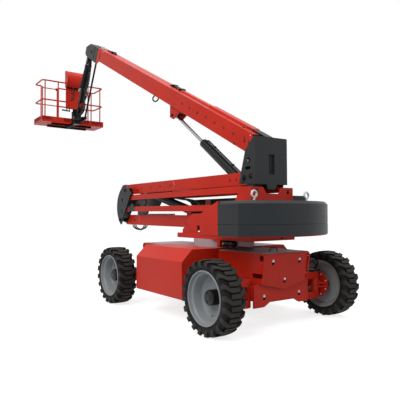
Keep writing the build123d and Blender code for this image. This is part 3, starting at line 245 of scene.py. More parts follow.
def finish(name, colour, deep, rough, rough_spread=0.1, metallic=0.0, specular=0.2, coat=0.0,
           ripple=260.0, ripple_depth=0.02, drift=1.6, edge=0.004, wear=0.3, worn=(0.3, 0.3, 0.3, 1),
           dust=0.3, low_dust=0.2, raised=None, second=None):
    """Material: a colour drifting to a deeper one, worn at edges, dusty on top, with a fine sprayed ripple.

    Raised is the colour where the piece's own raised attribute is 1. Second is (colour, start, line): the
    colour of what lies beyond the plane through start that the line is square to.
    """
    material = bpy.data.materials.new(name)
    material.use_nodes = True
    tree = material.node_tree
    shader = tree.nodes["Principled BSDF"]
    edges = place_group(tree, edges_group, Radius=edge, Wear=wear)
    settled = place_group(tree, dust_group, Amount=dust, Low=low_dust)
    grain = place_group(tree, grain_group, Ripple=ripple, Drift=drift)
    tone = mix_colour(tree, grain.outputs["Tone"], (*deep, 1), (*colour, 1))
    if raised:
        top = add(tree, "ShaderNodeAttribute", attribute_name="raised").outputs["Fac"]
        tone = mix_colour(tree, ramp(tree, top, 0.55, 0.95), tone, (*raised, 1))
    if second:
        other, start, line = second
        place = add(tree, "ShaderNodeTexCoord").outputs["Object"]
        links = [(0, place), (1, tuple(line))]
        reach = add(tree, "ShaderNodeVectorMath", links, operation="DOT_PRODUCT").outputs["Value"]
        limit = float(np.dot(start, line))
        tone = mix_colour(tree, ramp(tree, reach, limit - 0.001, limit + 0.001), tone, (*other, 1))
    tone = mix_colour(tree, edges.outputs["Mask"], tone, worn)
    tone = mix_colour(tree, settled.outputs["Mask"], tone, dust_colour)
    tree.links.new(tone, shader.inputs["Base Color"])
    dulled = math(tree, "MULTIPLY_ADD", settled.outputs["Mask"], 0.5, rough)
    varied = math(tree, "MULTIPLY_ADD", grain.outputs["Tone"], rough_spread, dulled, clamp=True)
    tree.links.new(varied, shader.inputs["Roughness"])
    shader.inputs["Metallic"].default_value = metallic
    shader.inputs["Specular IOR Level"].default_value = specular
    shader.inputs["Coat Weight"].default_value = coat
    shader.inputs["Coat Roughness"].default_value = 0.12
    links = [("Height", grain.outputs["Height"]), ("Strength", ripple_depth), ("Distance", 0.002)]
    bump = add(tree, "ShaderNodeBump", links)
    tree.links.new(edges.outputs["Normal"], bump.inputs["Normal"])
    tree.links.new(bump.outputs[0], shader.inputs["Normal"])
    return material


head_grey = (0.024, 0.028, 0.031)
head_start = on_boom(6.42)
red = dict(colour=(0.50, 0.021, 0.0075), deep=(0.44, 0.015, 0.005), rough=0.34, specular=0.10, coat=0.07,
           ripple_depth=0.03, wear=0.25, worn=(0.60, 0.10, 0.06, 1), dust=0.02, low_dust=0.02)
red_paint = finish("red_paint", **red)
head_paint = finish("head_paint", **red, second=(head_grey, head_start, boom_line))
# Darker red of painted shade: the shadow in the plug-weld dishes, and the shaded red seen through the
# bracket's ports.
weld_red = finish("weld_red", (0.20, 0.008, 0.004), (0.13, 0.005, 0.003), 0.35, ripple_depth=0.1, wear=0.5,
                  edge=0.002, worn=(0.60, 0.14, 0.09, 1), dust=0.0)
# Light red of painted highlight, for the edge-weld beads that catch the light.
edge_red = finish("edge_red", (0.80, 0.28, 0.22), (0.72, 0.22, 0.17), 0.3, coat=0.3, wear=0.0, dust=0.0)
grey_paint = finish("grey_paint", (0.0150, 0.0180, 0.0205), (0.0115, 0.0140, 0.0160), 0.42, coat=0.03,
                    ripple_depth=0.10, wear=0.35, worn=(0.09, 0.095, 0.10, 1), dust=0.05, low_dust=0.05)
black = dict(colour=(0.0045, 0.0045, 0.005), deep=(0.003, 0.003, 0.0035), worn=(0.03, 0.03, 0.033, 1),
             dust=0.01, low_dust=0.01)
black_paint = finish("black_paint", **black, rough=0.30, specular=0.22, coat=0.04, wear=0.25)
frame_black = finish("frame_black", **black, rough=0.60, specular=0.05, wear=0.1)
rim_paint = finish("rim_paint", (0.25, 0.265, 0.275), (0.20, 0.215, 0.225), 0.36, coat=0.08,
                   ripple_depth=0.03, edge=0.003, wear=0.15, worn=(0.45, 0.45, 0.45, 1), dust=0.08,
                   low_dust=0.10)
tyre_rubber = finish("tyre_rubber", (0.0050, 0.0050, 0.0055), (0.0035, 0.0035, 0.004), 0.62,
                     rough_spread=0.2, specular=0.15, ripple=90.0, ripple_depth=0.3, drift=6.0, wear=0.35,
                     worn=(0.025, 0.024, 0.023, 1), dust=0.05, low_dust=0.03, raised=(0.026, 0.0235, 0.021))
galvanised = finish("galvanised", (0.52, 0.54, 0.55), (0.42, 0.44, 0.45), 0.38, metallic=0.7, specular=0.5,
                    ripple=60.0, drift=9.0, edge=0.002, wear=0.1, dust=0.05)
plated_rod = finish("plated_rod", (0.46, 0.47, 0.49), (0.36, 0.37, 0.39), 0.16, rough_spread=0.05,
                    metallic=1.0, specular=0.5, ripple_depth=0.0, edge=0.002, wear=0.0, dust=0.0,
                    low_dust=0.0)
iron_cast = finish("iron_cast", (0.05, 0.05, 0.052), (0.03, 0.03, 0.031), 0.6, metallic=0.3, ripple=120.0,
                   ripple_depth=0.4, dust=0.1)
deck_grey = finish("deck_grey", (0.40, 0.385, 0.40), (0.34, 0.325, 0.34), 0.42, specular=0.4, ripple=70.0,
                   ripple_depth=0.15, wear=0.1, dust=0.05)
ring_grey = finish("ring_grey", (0.37, 0.32, 0.335), (0.30, 0.255, 0.27), 0.45, specular=0.3, ripple=90.0,
                   ripple_depth=0.15, wear=0.2, dust=0.05)
hose_rubber = finish("hose_rubber", (0.005, 0.005, 0.0055), (0.0035, 0.0035, 0.004), 0.32, specular=0.25,
                     ripple=420.0, ripple_depth=0.08, wear=0.0, dust=0.03)
brass = finish("brass", (0.45, 0.27, 0.06), (0.36, 0.20, 0.04), 0.32, metallic=0.9, specular=0.5, edge=0.001,
               wear=0.0, dust=0.03)
sign_beige = finish("sign_beige", (0.55, 0.33, 0.20), (0.50, 0.29, 0.17), 0.5, wear=0.1, edge=0.001,
                    dust=0.03)
# Near-black of painted shade, for holes, slots, gaps and undersides that lie in shadow.
shade_dark = finish("shade_dark", (0.003, 0.003, 0.003), (0.002, 0.002, 0.002), 0.8, specular=0.05,
                    wear=0.0, dust=0.0, low_dust=0.0)

node_finish = {
    grey_paint: ("counterweight", "front_knuckle", "rear_bracket", "hood", "hood_door", "jib_base"),
    black_paint: (
        "knuckle_casting", "lift_ram_barrel", "riser_ram_barrel", "jib_ram_barrel", "jib", "jib_link",
        "platform_bracket",
    ),
    frame_black: ("platform_support",),
    plated_rod: ("lift_ram_rod", "riser_ram_rod", "jib_ram_rod"),
    galvanised: ("lifting_eyes",),
    ring_grey: ("slew_ring",),
    deck_grey: ("nose_decks",),
    iron_cast: ("engine",),
    head_paint: ("inner_boom",),
}


def dress(piece, material):
    """Gives a piece or CAD node one material."""
    piece.data.materials.clear()
    piece.data.materials.append(material)


def dress_nodes():
    """Every CAD node gets its finish; what the table leaves out is red."""
    chosen = {name: material for material, names in node_finish.items() for name in names}
    for name, node in nodes.items():
        start = name.split("_")[0]
        by_kind = {"tyre": tyre_rubber, "rim": rim_paint}.get(start, red_paint)
        dress(node, chosen.get(name, by_kind))


# ---- Stage -------------------------------------------------------------------
floor_colour = (0.45, 0.45, 0.45, 1)
floor_glow = 0.77
sky_low, sky_high = (0.32, 0.32, 0.33, 1), (0.76, 0.77, 0.79, 1)
sky_strength = 0.8
white = (1, 1, 1, 1)
lamp_target = (-1.0, 0.0, 1.8)


def seen_rays(tree):
    """1 for rays from the camera and for those that metal or glass sends on, 0 for those that light."""
    rays = add(tree, "ShaderNodeLightPath")
    mirrored = math(tree, "MAXIMUM", rays.outputs["Is Glossy Ray"], rays.outputs["Is Transmission Ray"])
    return math(tree, "MAXIMUM", rays.outputs["Is Camera Ray"], mirrored)


def make_stage():
    """Wide pale floor that the camera sees nearly white but that keeps the shadow, under a white sky."""
    bpy.ops.mesh.primitive_plane_add(size=160, location=(0, 0, 0))
    floor = bpy.context.object
    floor.name = "floor"
    material = bpy.data.materials.new("floor_white")
    material.use_nodes = True
    tree = material.node_tree
    shader = tree.nodes["Principled BSDF"]
    shader.inputs["Base Color"].default_value = floor_colour
    shader.inputs["Roughness"].default_value = 0.9
    shader.inputs["Specular IOR Level"].default_value = 0.0
    shader.inputs["Emission Color"].default_value = white
    tree.links.new(math(tree, "MULTIPLY", seen_rays(tree), floor_glow), shader.inputs["Emission Strength"])
    dress(floor, material)
    world = bpy.data.worlds.new("sky")
    world.use_nodes = True
    bpy.context.scene.world = world
    tree = world.node_tree
    tree.nodes.clear()
    direction = add(tree, "ShaderNodeTexCoord").outputs["Generated"]
    height = add(tree, "ShaderNodeSeparateXYZ", [(0, direction)]).outputs["Z"]
    sky = mix_colour(tree, ramp(tree, height, -0.1, 0.9), sky_low, sky_high)
    lit = add(tree, "ShaderNodeBackground", [("Color", sky), ("Strength", sky_strength)])
    blank = add(tree, "ShaderNodeBackground", [("Color", white), ("Strength", 1.0)])
    shaders = [(0, seen_rays(tree)), (1, lit.outputs[0]), (2, blank.outputs[0])]
    shown = add(tree, "ShaderNodeMixShader", shaders)
    result = add(tree, "ShaderNodeOutputWorld")
    tree.links.new(shown.outputs[0], result.inputs["Surface"])


def area_lamp(name, place, target, size, power):
    """Square area lamp aimed at a point."""
    data = bpy.data.lights.new(name, "AREA")
    data.size = size
    data.energy = power
    lamp = bpy.data.objects.new(name, data)
    lamp.location = place
    lamp.rotation_euler = (Vector(target) - Vector(place)).to_track_quat("-Z", "Y").to_euler()
    bpy.context.scene.collection.objects.link(lamp)


def make_lamps():
    """A key lamp on the left, one overhead and a weak fill on the right, all aimed at the turntable."""
    for name, place, size, power in (
        ("key", (-7.0, 11.0, 11.0), 9.0, 1500),
        ("overhead", (0.0, -1.0, 15.0), 12.0, 1100),
        ("fill", (-14.0, -6.0, 6.0), 9.0, 150),
    ):
        area_lamp(name, place, lamp_target, size, power)


# ---- Surfaces ----------------------------------------------------------------
# A shell is its points and a list of face tables, one table for each number of corners.
def skin(grid, wrap_u=False, wrap_v=True, capped=False):
    """Quads over a (u, v) grid of points; wrap joins its ends, and capped closes its first and last rows."""
    grid = np.asarray(grid, float)
    count_u, count_v = grid.shape[:2]
    index = np.arange(count_u * count_v).reshape(count_u, count_v)
    next_u = np.roll(index, -1, axis=0)
    next_v = np.roll(index, -1, axis=1)
    far = np.roll(next_u, -1, axis=1)
    rows = slice(None) if wrap_u else slice(0, -1)
    columns = slice(None) if wrap_v else slice(0, -1)
    faces = [np.stack([part[rows, columns].ravel() for part in (index, next_u, far, next_v)], axis=1)]
    if capped:
        faces += [index[:1], index[-1:, ::-1]]
    return grid.reshape(-1, 3), faces


def copies(shell, frames):
    """One shell repeated under many 4x4 frames, as a single shell."""
    points, faces = shell
    frames = np.asarray(frames, float)
    whole = np.einsum("kij,nj->kni", frames[:, :3, :3], points) + frames[:, None, :3, 3]
    steps = np.arange(len(frames))[:, None, None] * len(points)
    return whole.reshape(-1, 3), [(table[None] + steps).reshape(-1, table.shape[1]) for table in faces]


def join(*shells):
    """Several shells as one."""
    starts = np.cumsum([0] + [len(points) for points, _ in shells[:-1]])
    points = np.concatenate([points for points, _ in shells])
    return points, [table + start for (_, faces), start in zip(shells, starts) for table in faces]


def make(name, shell, material, body, smooth=35.0, raised=None):
    """Object from a shell or a list of them, with its faces turned outwards, riding on a body.

    Edges sharper than smooth stay sharp. Raised gives each point its value of the raised attribute.
    """
    points, faces = join(*shell) if isinstance(shell, list) else shell
    mesh = bpy.data.meshes.new(name)
    mesh.from_pydata(points.tolist(), [], [face for table in faces for face in table.tolist()])
    if raised is not None:
        layer = mesh.attributes.new("raised", "FLOAT", "POINT")
        layer.data.foreach_set("value", np.asarray(raised, np.float32))
    piece = bpy.data.objects.new(name, mesh)
    bpy.context.scene.collection.objects.link(piece)
    work = bmesh.new()
    work.from_mesh(mesh)
    bmesh.ops.remove_doubles(work, verts=work.verts, dist=1e-6)
    bmesh.ops.recalc_face_normals(work, faces=work.faces)
    work.to_mesh(mesh)
    work.free()
    mesh.shade_smooth()
    mesh.set_sharp_from_angle(angle=radians(smooth))
    dress(piece, material)
    if body:
        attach(piece, body)
    return piece


def spokes(side, up, steps):
    """Unit vectors evenly round a circle, cos a times side + sin a times up, for one pair or many."""
    turn = np.linspace(0, tau, steps, endpoint=False)[:, None]
    return np.cos(turn) * side[..., None, :] + np.sin(turn) * up[..., None, :]


def lathe(profile, centre, axis=across, steps=64):
    """Profile of (distance, radius) turned: centre + distance times axis + radius times spoke."""
    profile = np.asarray(profile, float)
    axis = unit(axis)
    side = unit(np.cross(axis, upward if abs(axis[2]) < 0.9 else forward))
    ring = spokes(side, np.cross(side, axis), steps)
    return skin(np.asarray(centre) + profile[:, None, :1] * axis + profile[:, None, 1:] * ring)


def frames_along(path):
    """Side and up vectors square to a path: up starts near +Z and is carried along with no twist."""
    path = np.asarray(path, float)
    ahead = unit(np.gradient(path, axis=0))
    up = upward if abs(ahead[0, 2]) < 0.9 else forward
    ups = []
    for direction in ahead:
        up = unit(up - direction * np.dot(up, direction))
        ups.append(up)
    ups = np.array(ups)
    return np.cross(ahead, ups), ups


def pipe(path, radius, steps=12):
    """Round section carried along a path, with flat ends: path + radius times spoke."""
    path = np.asarray(path, float)
    return skin(path[:, None] + radius * spokes(*frames_along(path), steps), capped=True)


def smooth_path(points, samples=8):
    """Curve of cubics through points: the slope at each is half the step from the one before to the next."""
    points = np.asarray(points, float)
    padded = np.concatenate([points[:1] * 2 - points[1:2], points, points[-1:] * 2 - points[-2:-1]])
    t = np.linspace(0, 1, samples, endpoint=False)[:, None]
    before, start, end, after = padded[:-3], padded[1:-2], padded[2:-1], padded[3:]
    stretch = 0.5 * (
        2 * start[:, None]
        + (end - before)[:, None] * t
        + (2 * before - 5 * start + 4 * end - after)[:, None] * t**2
        + (3 * start - before - 3 * end + after)[:, None] * t**3
    )
    return np.concatenate([stretch.reshape(-1, 3), points[-1:]])


def hose(points, radius, steps=10):
    """Round hose on a smooth curve through the points."""
    return pipe(smooth_path(points), radius, steps)


def spots_on(on_arm, spots, y):
    """Points of an arm at (distance, height) spots, all at one y."""
    return [on_arm(distance, height, y) for distance, height in spots]


def prism(outline, origin, x_dir, y_dir, depth, bevel=0.0):
    """Outline of (x, y) points carried square to its plane by depth, its rims drawn in by the bevel."""
    outline = np.asarray(outline, float)
    before, after = np.roll(outline, 1, axis=0), np.roll(outline, -1, axis=0)
    enter, leave = unit(outline - before), unit(after - outline)
    turned = np.array([[0, 1], [-1, 0]])
    sign = np.sign(np.sum(outline[:, 0] * after[:, 1] - after[:, 0] * outline[:, 1]))
    normals = sign * (enter + leave) @ turned.T
    scale = 1 + np.sum(enter * leave, axis=1, keepdims=True)
    inset = outline - bevel * normals / np.maximum(scale, 0.3)
    basis = np.stack([np.asarray(x_dir, float), np.asarray(y_dir, float)])
    out = np.cross(basis[0], basis[1])
    rings = ((inset, 0.0), (outline, bevel), (outline, depth - bevel), (inset, depth))
    if not bevel:
        rings = rings[1:3]
    grid = np.array([np.asarray(origin) + ring @ basis + height * out for ring, height in rings])
    return skin(grid, capped=True)


def arc(centre, radius, start, end, steps):
    """Points centre + radius times (cos a, sin a), between two angles in degrees."""
    turn = np.radians(np.linspace(start, end, steps))
    return np.asarray(centre) + radius * np.stack([np.cos(turn), np.sin(turn)], axis=1)


def rounded(width, height, corner, steps=4):
    """Outline of a rectangle about the origin with round corners."""
    x, y = width / 2 - corner, height / 2 - corner
    corners = ((x, y, 0), (-x, y, 90), (-x, -y, 180), (x, -y, 270))
    return np.concatenate([arc((cx, cy), corner, a, a + 90, steps) for cx, cy, a in corners])


def block(width, height, corner, place, x_dir, y_dir, depth, bevel=0.0):
    """Plate with round corners about place, in x_dir and y_dir, carried square to them by depth."""
    return prism(rounded(width, height, corner), place, x_dir, y_dir, depth, bevel)


def bolts(places, out, radius, height):
    """Bolt heads at places: a profile with a chamfered rim, turned round out in six steps."""
    profile = [(-0.001, 0), (-0.001, radius), (0.75 * height, radius), (height, 0.8 * radius), (height, 0)]
    return join(*[lathe(profile, place, out, 6) for place in places])


def pin_head(place, out, radius, height):
    """Round pin end: a collar, a step and a crowned cap, turned round out."""
    profile = [(-0.001, 0), (-0.001, 1.35 * radius), (0.3 * height, 1.35 * radius), (0.35 * height, radius),
               (0.85 * height, radius), (height, 0.8 * radius), (height, 0)]
    return lathe(profile, place, out, 28)


def flank_pins(place, half, radius, height):
    """Pin heads on both sides of the machine, half to each side of a place."""
    return [pin_head(place + flank * half * across, flank * across, radius, height) for flank in flanks]


def flank_bolts(on_arm, spots, half, radius, height):
    """Bolt heads at (distance, height) spots on both sides of an arm."""
    return [bolts(spots_on(on_arm, spots, flank * half), flank * across, radius, height) for flank in flanks]


# ---- Wheels ------------------------------------------------------------------
lug_count = 20
lug_chamfer = 0.004
tyre_half = 0.16
tread_radius = 0.47
plug_depth, plug_circle = 0.096, 0.066
valve_depth, valve_circle = 0.208, 0.248
lug_stations = np.array([
    # y outer, r outer, y inner, r inner, drift along the tread, half width at the foot, half width at the top
    (0.147, 0.388, 0.130, 0.388, 0.066, 0.029, 0.022),
    (0.1585, 0.425, 0.132, 0.425, 0.066, 0.035, 0.028),
    (0.1595, 0.455, 0.132, 0.444, 0.064, 0.037, 0.031),
    (0.152, 0.4695, 0.127, 0.448, 0.060, 0.037, 0.031),
    (0.125, 0.4755, 0.115, 0.450, 0.044, 0.035, 0.029),
    (0.088, 0.4795, 0.088, 0.451, 0.018, 0.032, 0.027),
    (0.062, 0.481, 0.062, 0.451, 0.001, 0.030, 0.0255),
    (-0.070, 0.481, -0.070, 0.451, 0.000, 0.028, 0.0235),
])
tyre_profile = (
    # y, radius
    (-0.118, 0.349), (-0.136, 0.352), (-0.143, 0.362), (-0.139, 0.368), (-0.146, 0.385), (-0.150, 0.403),
    (-0.147, 0.422), (-0.138, 0.441), (-0.115, 0.4505), (0.0, 0.4525), (0.115, 0.4505), (0.138, 0.441),
    (0.147, 0.422), (0.150, 0.403), (0.146, 0.385), (0.139, 0.368), (0.143, 0.362), (0.136, 0.352),
    (0.118, 0.349), (0.0, 0.345), (-0.118, 0.349),
)
rim_profile = (
    # depth behind the tyre's face, radius
    (0.022, 0.348), (0.013, 0.343), (0.012, 0.336), (0.018, 0.329), (0.035, 0.325), (0.055, 0.318),
    (0.066, 0.302), (0.085, 0.294), (0.175, 0.284), (0.196, 0.276), (0.206, 0.262), (0.210, 0.235),
    (0.214, 0.13), (0.214, 0.098), (0.228, 0.098), (0.230, 0.24), (0.228, 0.28), (0.26, 0.30),
    (0.292, 0.325), (0.305, 0.348), (0.16, 0.342), (0.022, 0.348),
)
hub_profile = (
    # depth behind the tyre's face, radius
    (0.225, 0.0), (0.225, 0.100), (0.112, 0.100), (0.103, 0.096), (0.098, 0.086), (0.096, 0.040),
    (0.090, 0.038), (0.088, 0.0),
)
plug_profile = ((-0.001, 0.0), (-0.001, 0.012), (0.006, 0.012), (0.008, 0.009), (0.008, 0.0))
valve_profile = ((0.0, 0.0), (0.0, 0.006), (0.025, 0.006), (0.027, 0.004), (0.038, 0.004), (0.038, 0.0))


def tread_lugs(centre):
    """Bars whose section runs from the carcass to a chamfered top, carried from the sidewall past the middle.

    Point = (r sin a, y, r cos a), where a is the drift and the half width over the tread's radius. Returns
    the shell and, for each point, how near it is to a lug's top.
    """
    y_out, r_out, y_in, r_in, drift, foot, top = lug_stations.T
    shoulder = top + lug_chamfer
    # the section's six corners: share of the lug's height, and side of its middle
    lift = np.array((0.0, 0.86, 1.0, 1.0, 0.86, 0.0))
    wide = np.array((-1.0, -1.0, -1.0, 1.0, 1.0, 1.0))
    half = np.stack([foot, shoulder, top, top, shoulder, foot], axis=1) * wide
    y = y_in[:, None] + (y_out - y_in)[:, None] * lift
    r = r_in[:, None] + (r_out - r_in)[:, None] * lift
    turn = (drift[:, None] + half) / tread_radius
    shells = []
    for flank, start in ((1, 0.0), (-1, pi / lug_count)):
        first = np.stack([r * np.sin(turn), flank * y, r * np.cos(turn)], axis=-1)
        angles = np.arange(lug_count) * tau / lug_count + start
        frames = np.zeros((lug_count, 4, 4))
        frames[:, 0, 0] = frames[:, 2, 2] = np.cos(angles)
        frames[:, 0, 2] = np.sin(angles)
        frames[:, 2, 0] = -np.sin(angles)
        frames[:, 1, 1] = 1
        frames[:, :3, 3] = centre
        shells.append(copies(skin(first, capped=True), frames))
    near_top = np.tile(np.where(lift < 1, 0.6 * lift, 1.0), len(lug_stations) * lug_count * 2)
    return join(*shells), near_top


def make_wheel(end, side):
    """Lugged tyre, stepped rim, hub and valve of one wheel, in place of the plain ones."""
    outward = sides[side] * across
    low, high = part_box(f"tyre_{end}_{side}")
    centre = (np.array(low) + np.array(high)) / 2
    body = f"wheel_{end}_{side}"
    carcass = lathe(tyre_profile, centre, steps=96)
    lugs, near_top = tread_lugs(centre)
    raised = np.concatenate([np.zeros(len(carcass[0])), near_top])
    tyre = make(f"lugged_tyre_{end}_{side}", [carcass, lugs], tyre_rubber, body, raised=raised)
    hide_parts(f"tyre_{end}_{side}")
    face = centre + tyre_half * outward
    dish = lathe(rim_profile, face, -outward, 80)
    rim = make(f"dished_rim_{end}_{side}", dish, rim_paint, body)
    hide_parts(f"rim_{end}_{side}")
    plugs = []
    for turn in np.radians((60, 180, 300)):
        place = face - plug_depth * outward + plug_circle * (cos(turn) * forward + sin(turn) * upward)
        plugs.append(lathe(plug_profile, place, outward, 6))
    hub = [lathe(hub_profile, face, -outward, 40), *plugs]
    make(f"hub_{end}_{side}", hub, black_paint, body)
    foot = face - valve_depth * outward + valve_circle * unit(0.22 * forward - upward)
    make(f"valve_{end}_{side}", lathe(valve_profile, foot, outward, 10), brass, body)


# ---- Chassis -----------------------------------------------------------------
stud_profile = (
    (-0.004, 0.0), (-0.004, 0.019), (0.001, 0.019), (0.002, 0.013), (0.011, 0.013), (0.014, 0.009),
    (0.014, 0.0),
)
# Dark disc of painted shade for a keyhole.
keyhole_shade_profile = ((-0.001, 0.0), (-0.001, 0.022), (0.0006, 0.021), (0.0006, 0.0))
boot_profile = (
    (0.0, 0.0), (0.0, 0.085), (0.012, 0.088), (0.02, 0.078), (0.03, 0.08), (0.04, 0.062), (0.044, 0.0),
)
keyhole_drop = 0.036
nose_lean = radians(9)
nose_studs = ((-0.25, 0.094), (0.25, 0.094), (0.0, 0.354))  # y, distance down the cover
end_bolts = ((1.045, 0.82), (1.045, 0.41), (0.50, 0.92))  # y, z
flange_face, flange_circle = 0.88, 0.158
middle_x = (pivot["wheel_rear_left_spin"][0] + pivot["wheel_front_left_spin"][0]) / 2
deck_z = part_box("nose_decks")[1][2]


def keyed_studs(covers):
    """Studs turned round out, and dark discs of painted shade for the keyholes down from them, at the spots
    of each (spots, out, down).
    """
    studs, keyholes = [], []
    for spots, out, down in covers:
        studs += [lathe(stud_profile, spot, out, 16) for spot in spots]
        keyholes += [lathe(keyhole_shade_profile, spot + keyhole_drop * down, out, 20) for spot in spots]
    return studs, keyholes


def make_nose_fittings():
    """Studs in the keyholes of both nose covers and the axle cover, dark discs of painted shade for those
    keyholes, and a wire handle on the rear deck.
    """
    low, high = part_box("nose_covers")
    reach = (high[0] - low[0]) / 2
    covers = []
    for end in (-1, 1):
        top = np.array((middle_x + end * reach, 0, high[2] - 0.001))
        out = np.array((end * cos(nose_lean), 0, -sin(nose_lean)))
        down = np.array((-end * sin(nose_lean), 0, -cos(nose_lean)))
        covers.append(([top + y * across + drop * down for y, drop in nose_studs], out, down))
    axle_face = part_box("axle_cover")[0][0]
    covers.append(([np.array((axle_face, y, 0.439)) for y in (-0.33, 0.33)], -forward, -upward))
    studs, keyholes = keyed_studs(covers)
    wire = np.array([
        # y, z
        (0, 0), (0, 0.034), (0.003, 0.043), (0.012, 0.047), (0.127, 0.047), (0.136, 0.043), (0.139, 0.034),
        (0.139, 0),
    ])
    foot = np.array((middle_x - 1.40, -0.034, deck_z - 0.002))
    handle = pipe(foot + wire[:, :1] * across + wire[:, 1:] * upward, 0.0065, 8)
    make("cover_studs", studs, plated_rod, "chassis")
    make("cover_keyholes", keyholes, shade_dark, "chassis")
    make("deck_handle", handle, black_paint, "chassis")


def make_cover_bolts():
    """Small bolts on the end faces of the side covers."""
    shells = []
    for side, flank in sides.items():
        low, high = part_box(f"side_cover_{side}")
        for x, out in ((low[0], -forward), (high[0], forward)):
            shells.append(bolts([(x, flank * y, z) for y, z in end_bolts], out, 0.012, 0.008))
    make("cover_bolts", shells, black_paint, "chassis")


def make_axle_ends():
    """Bolts round each hub flange, a boot over each kingpin, and the hoses that arch from the nose to one."""
    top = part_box("steer_axle")[1][2]
    ring = flange_circle * arc((0, 0), 1.0, 22.5, 337.5, 8)
    boots = []
    for side, flank in sides.items():
        kingpin = pivot["steer" if side == "left" else "steer_right"]
        places = [(kingpin[0] + x, flank * flange_face, kingpin[2] + z) for x, z in ring]
        heads = bolts(places, -flank * across, 0.013, 0.012)
        make(f"flange_bolts_{side}", heads, galvanised, f"steer_knuckle_{side}")
        boots.append(lathe(boot_profile, (kingpin[0], kingpin[1], top), upward, 32))
    route = np.array([
        # x, y, z, share of the arch
        (-4.08, -0.434, 0.80, 0), (-4.10, -0.52, 0.855, 1), (-4.11, -0.66, 0.865, 1),
        (-4.10, -0.775, 0.825, 1), (-4.07, -0.825, 0.765, 1), (-4.04, -0.81, 0.712, 0),
    ])
    hoses = [
        hose(route[:, :3] + shift * forward + arch * route[:, 3:] * upward, 0.0125, 12)
        for shift, arch in ((0.0, 0.0), (0.035, -0.03))
    ]
    make("kingpin_boots", boots, black_paint, "chassis")
    make("axle_hoses", hoses, hose_rubber, "chassis", smooth=60)


# ---- Turntable ---------------------------------------------------------------
motor_profile = (
    (0.0, 0.0), (0.0, 0.028), (0.02, 0.03), (0.022, 0.044), (0.12, 0.046), (0.125, 0.038), (0.21, 0.038),
    (0.215, 0.046), (0.25, 0.046), (0.252, 0.03), (0.28, 0.028), (0.28, 0.0),
)
fitting_profile = ((0.0, 0.0), (0.0, 0.018), (0.012, 0.018), (0.014, 0.012), (0.022, 0.012), (0.022, 0.0))
knob_profile = ((0.0, 0.0), (0.0, 0.024), (0.018, 0.028), (0.028, 0.02), (0.028, 0.0))
tower_back = pivot["lower_link_hinge"][0] - 0.295  # x of the tower's rear plate


def make_slew_drive():
    """Slew motor lying beside the ring under the turntable, with its brass fitting, housing and red stop."""
    place = np.array((-3.33, 0.36, 1.098))
    make("slew_motor", lathe(motor_profile, place, -forward, 32), black_paint, "turntable")
    fitting = lathe(fitting_profile, place + (-0.06, 0.042, 0.0), across, 6)
    make("slew_fitting", fitting, brass, "turntable")
    housing = block(0.24, 0.075, 0.012, place + (-0.42, -0.02, 0.008), forward, upward, 0.10, 0.006)
    make("slew_housing", housing, ring_grey, "turntable")
    stop = block(0.07, 0.104, 0.006, place + (0.035, 0.07, 0.0), forward, upward, 0.05, 0.003)
    make("slew_stop", stop, red_paint, "turntable")


def make_turntable_fittings():
    """Blank sign on the hood's inner face, knob under the counterweight, studs in the tower's keyholes with
    dark discs of painted shade for them.
    """
    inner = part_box("hood")[1][1]
    sign = block(0.165, 0.103, 0.004, (-1.899, inner + 0.0025, 1.734), forward, upward, 0.003, 0.0008)
    make("hood_sign", sign, sign_beige, "turntable")
    knob = lathe(knob_profile, (-4.40, 0.23, 1.2265), -upward, 20)
    make("drain_knob", knob, black_paint, "turntable")
    spots = [np.array((tower_back, y, 1.868)) for y in (-0.30, 0.30)]
    studs, keyholes = keyed_studs([(spots, -forward, -upward)])
    make("tower_studs", studs, iron_cast, "turntable")
    make("tower_keyholes", keyholes, shade_dark, "turntable")


# ---- Risers, links and knuckle -----------------------------------------------
# Plug weld: a shallow dish in a raised ring, drawn in the darker red of painted shade.
weld_profile = (
    (0.0003, 0.0), (0.0004, 0.012), (0.0035, 0.0185), (0.004, 0.0200), (0.003, 0.0225), (-0.0005, 0.0240),
    (-0.001, 0.0),
)
# Hole: a dark disc of painted shade with a raised lip.
hole_shade_profile = (
    (0.0003, 0.0), (0.0004, 0.013), (0.0025, 0.015), (0.003, 0.018), (-0.001, 0.020), (-0.001, 0.0),
)
casting_face, casting_thick = 0.2505, 0.004


def welds(on_arm, places, half):
    """Plug welds on both sides of an arm: a shallow dish inside a raised ring at each (distance, height)."""
    return join(*[
        lathe(weld_profile, on_arm(s, h, flank * (half + proud)), flank * across, 20)
        for flank in flanks for s, h, proud in places
    ])


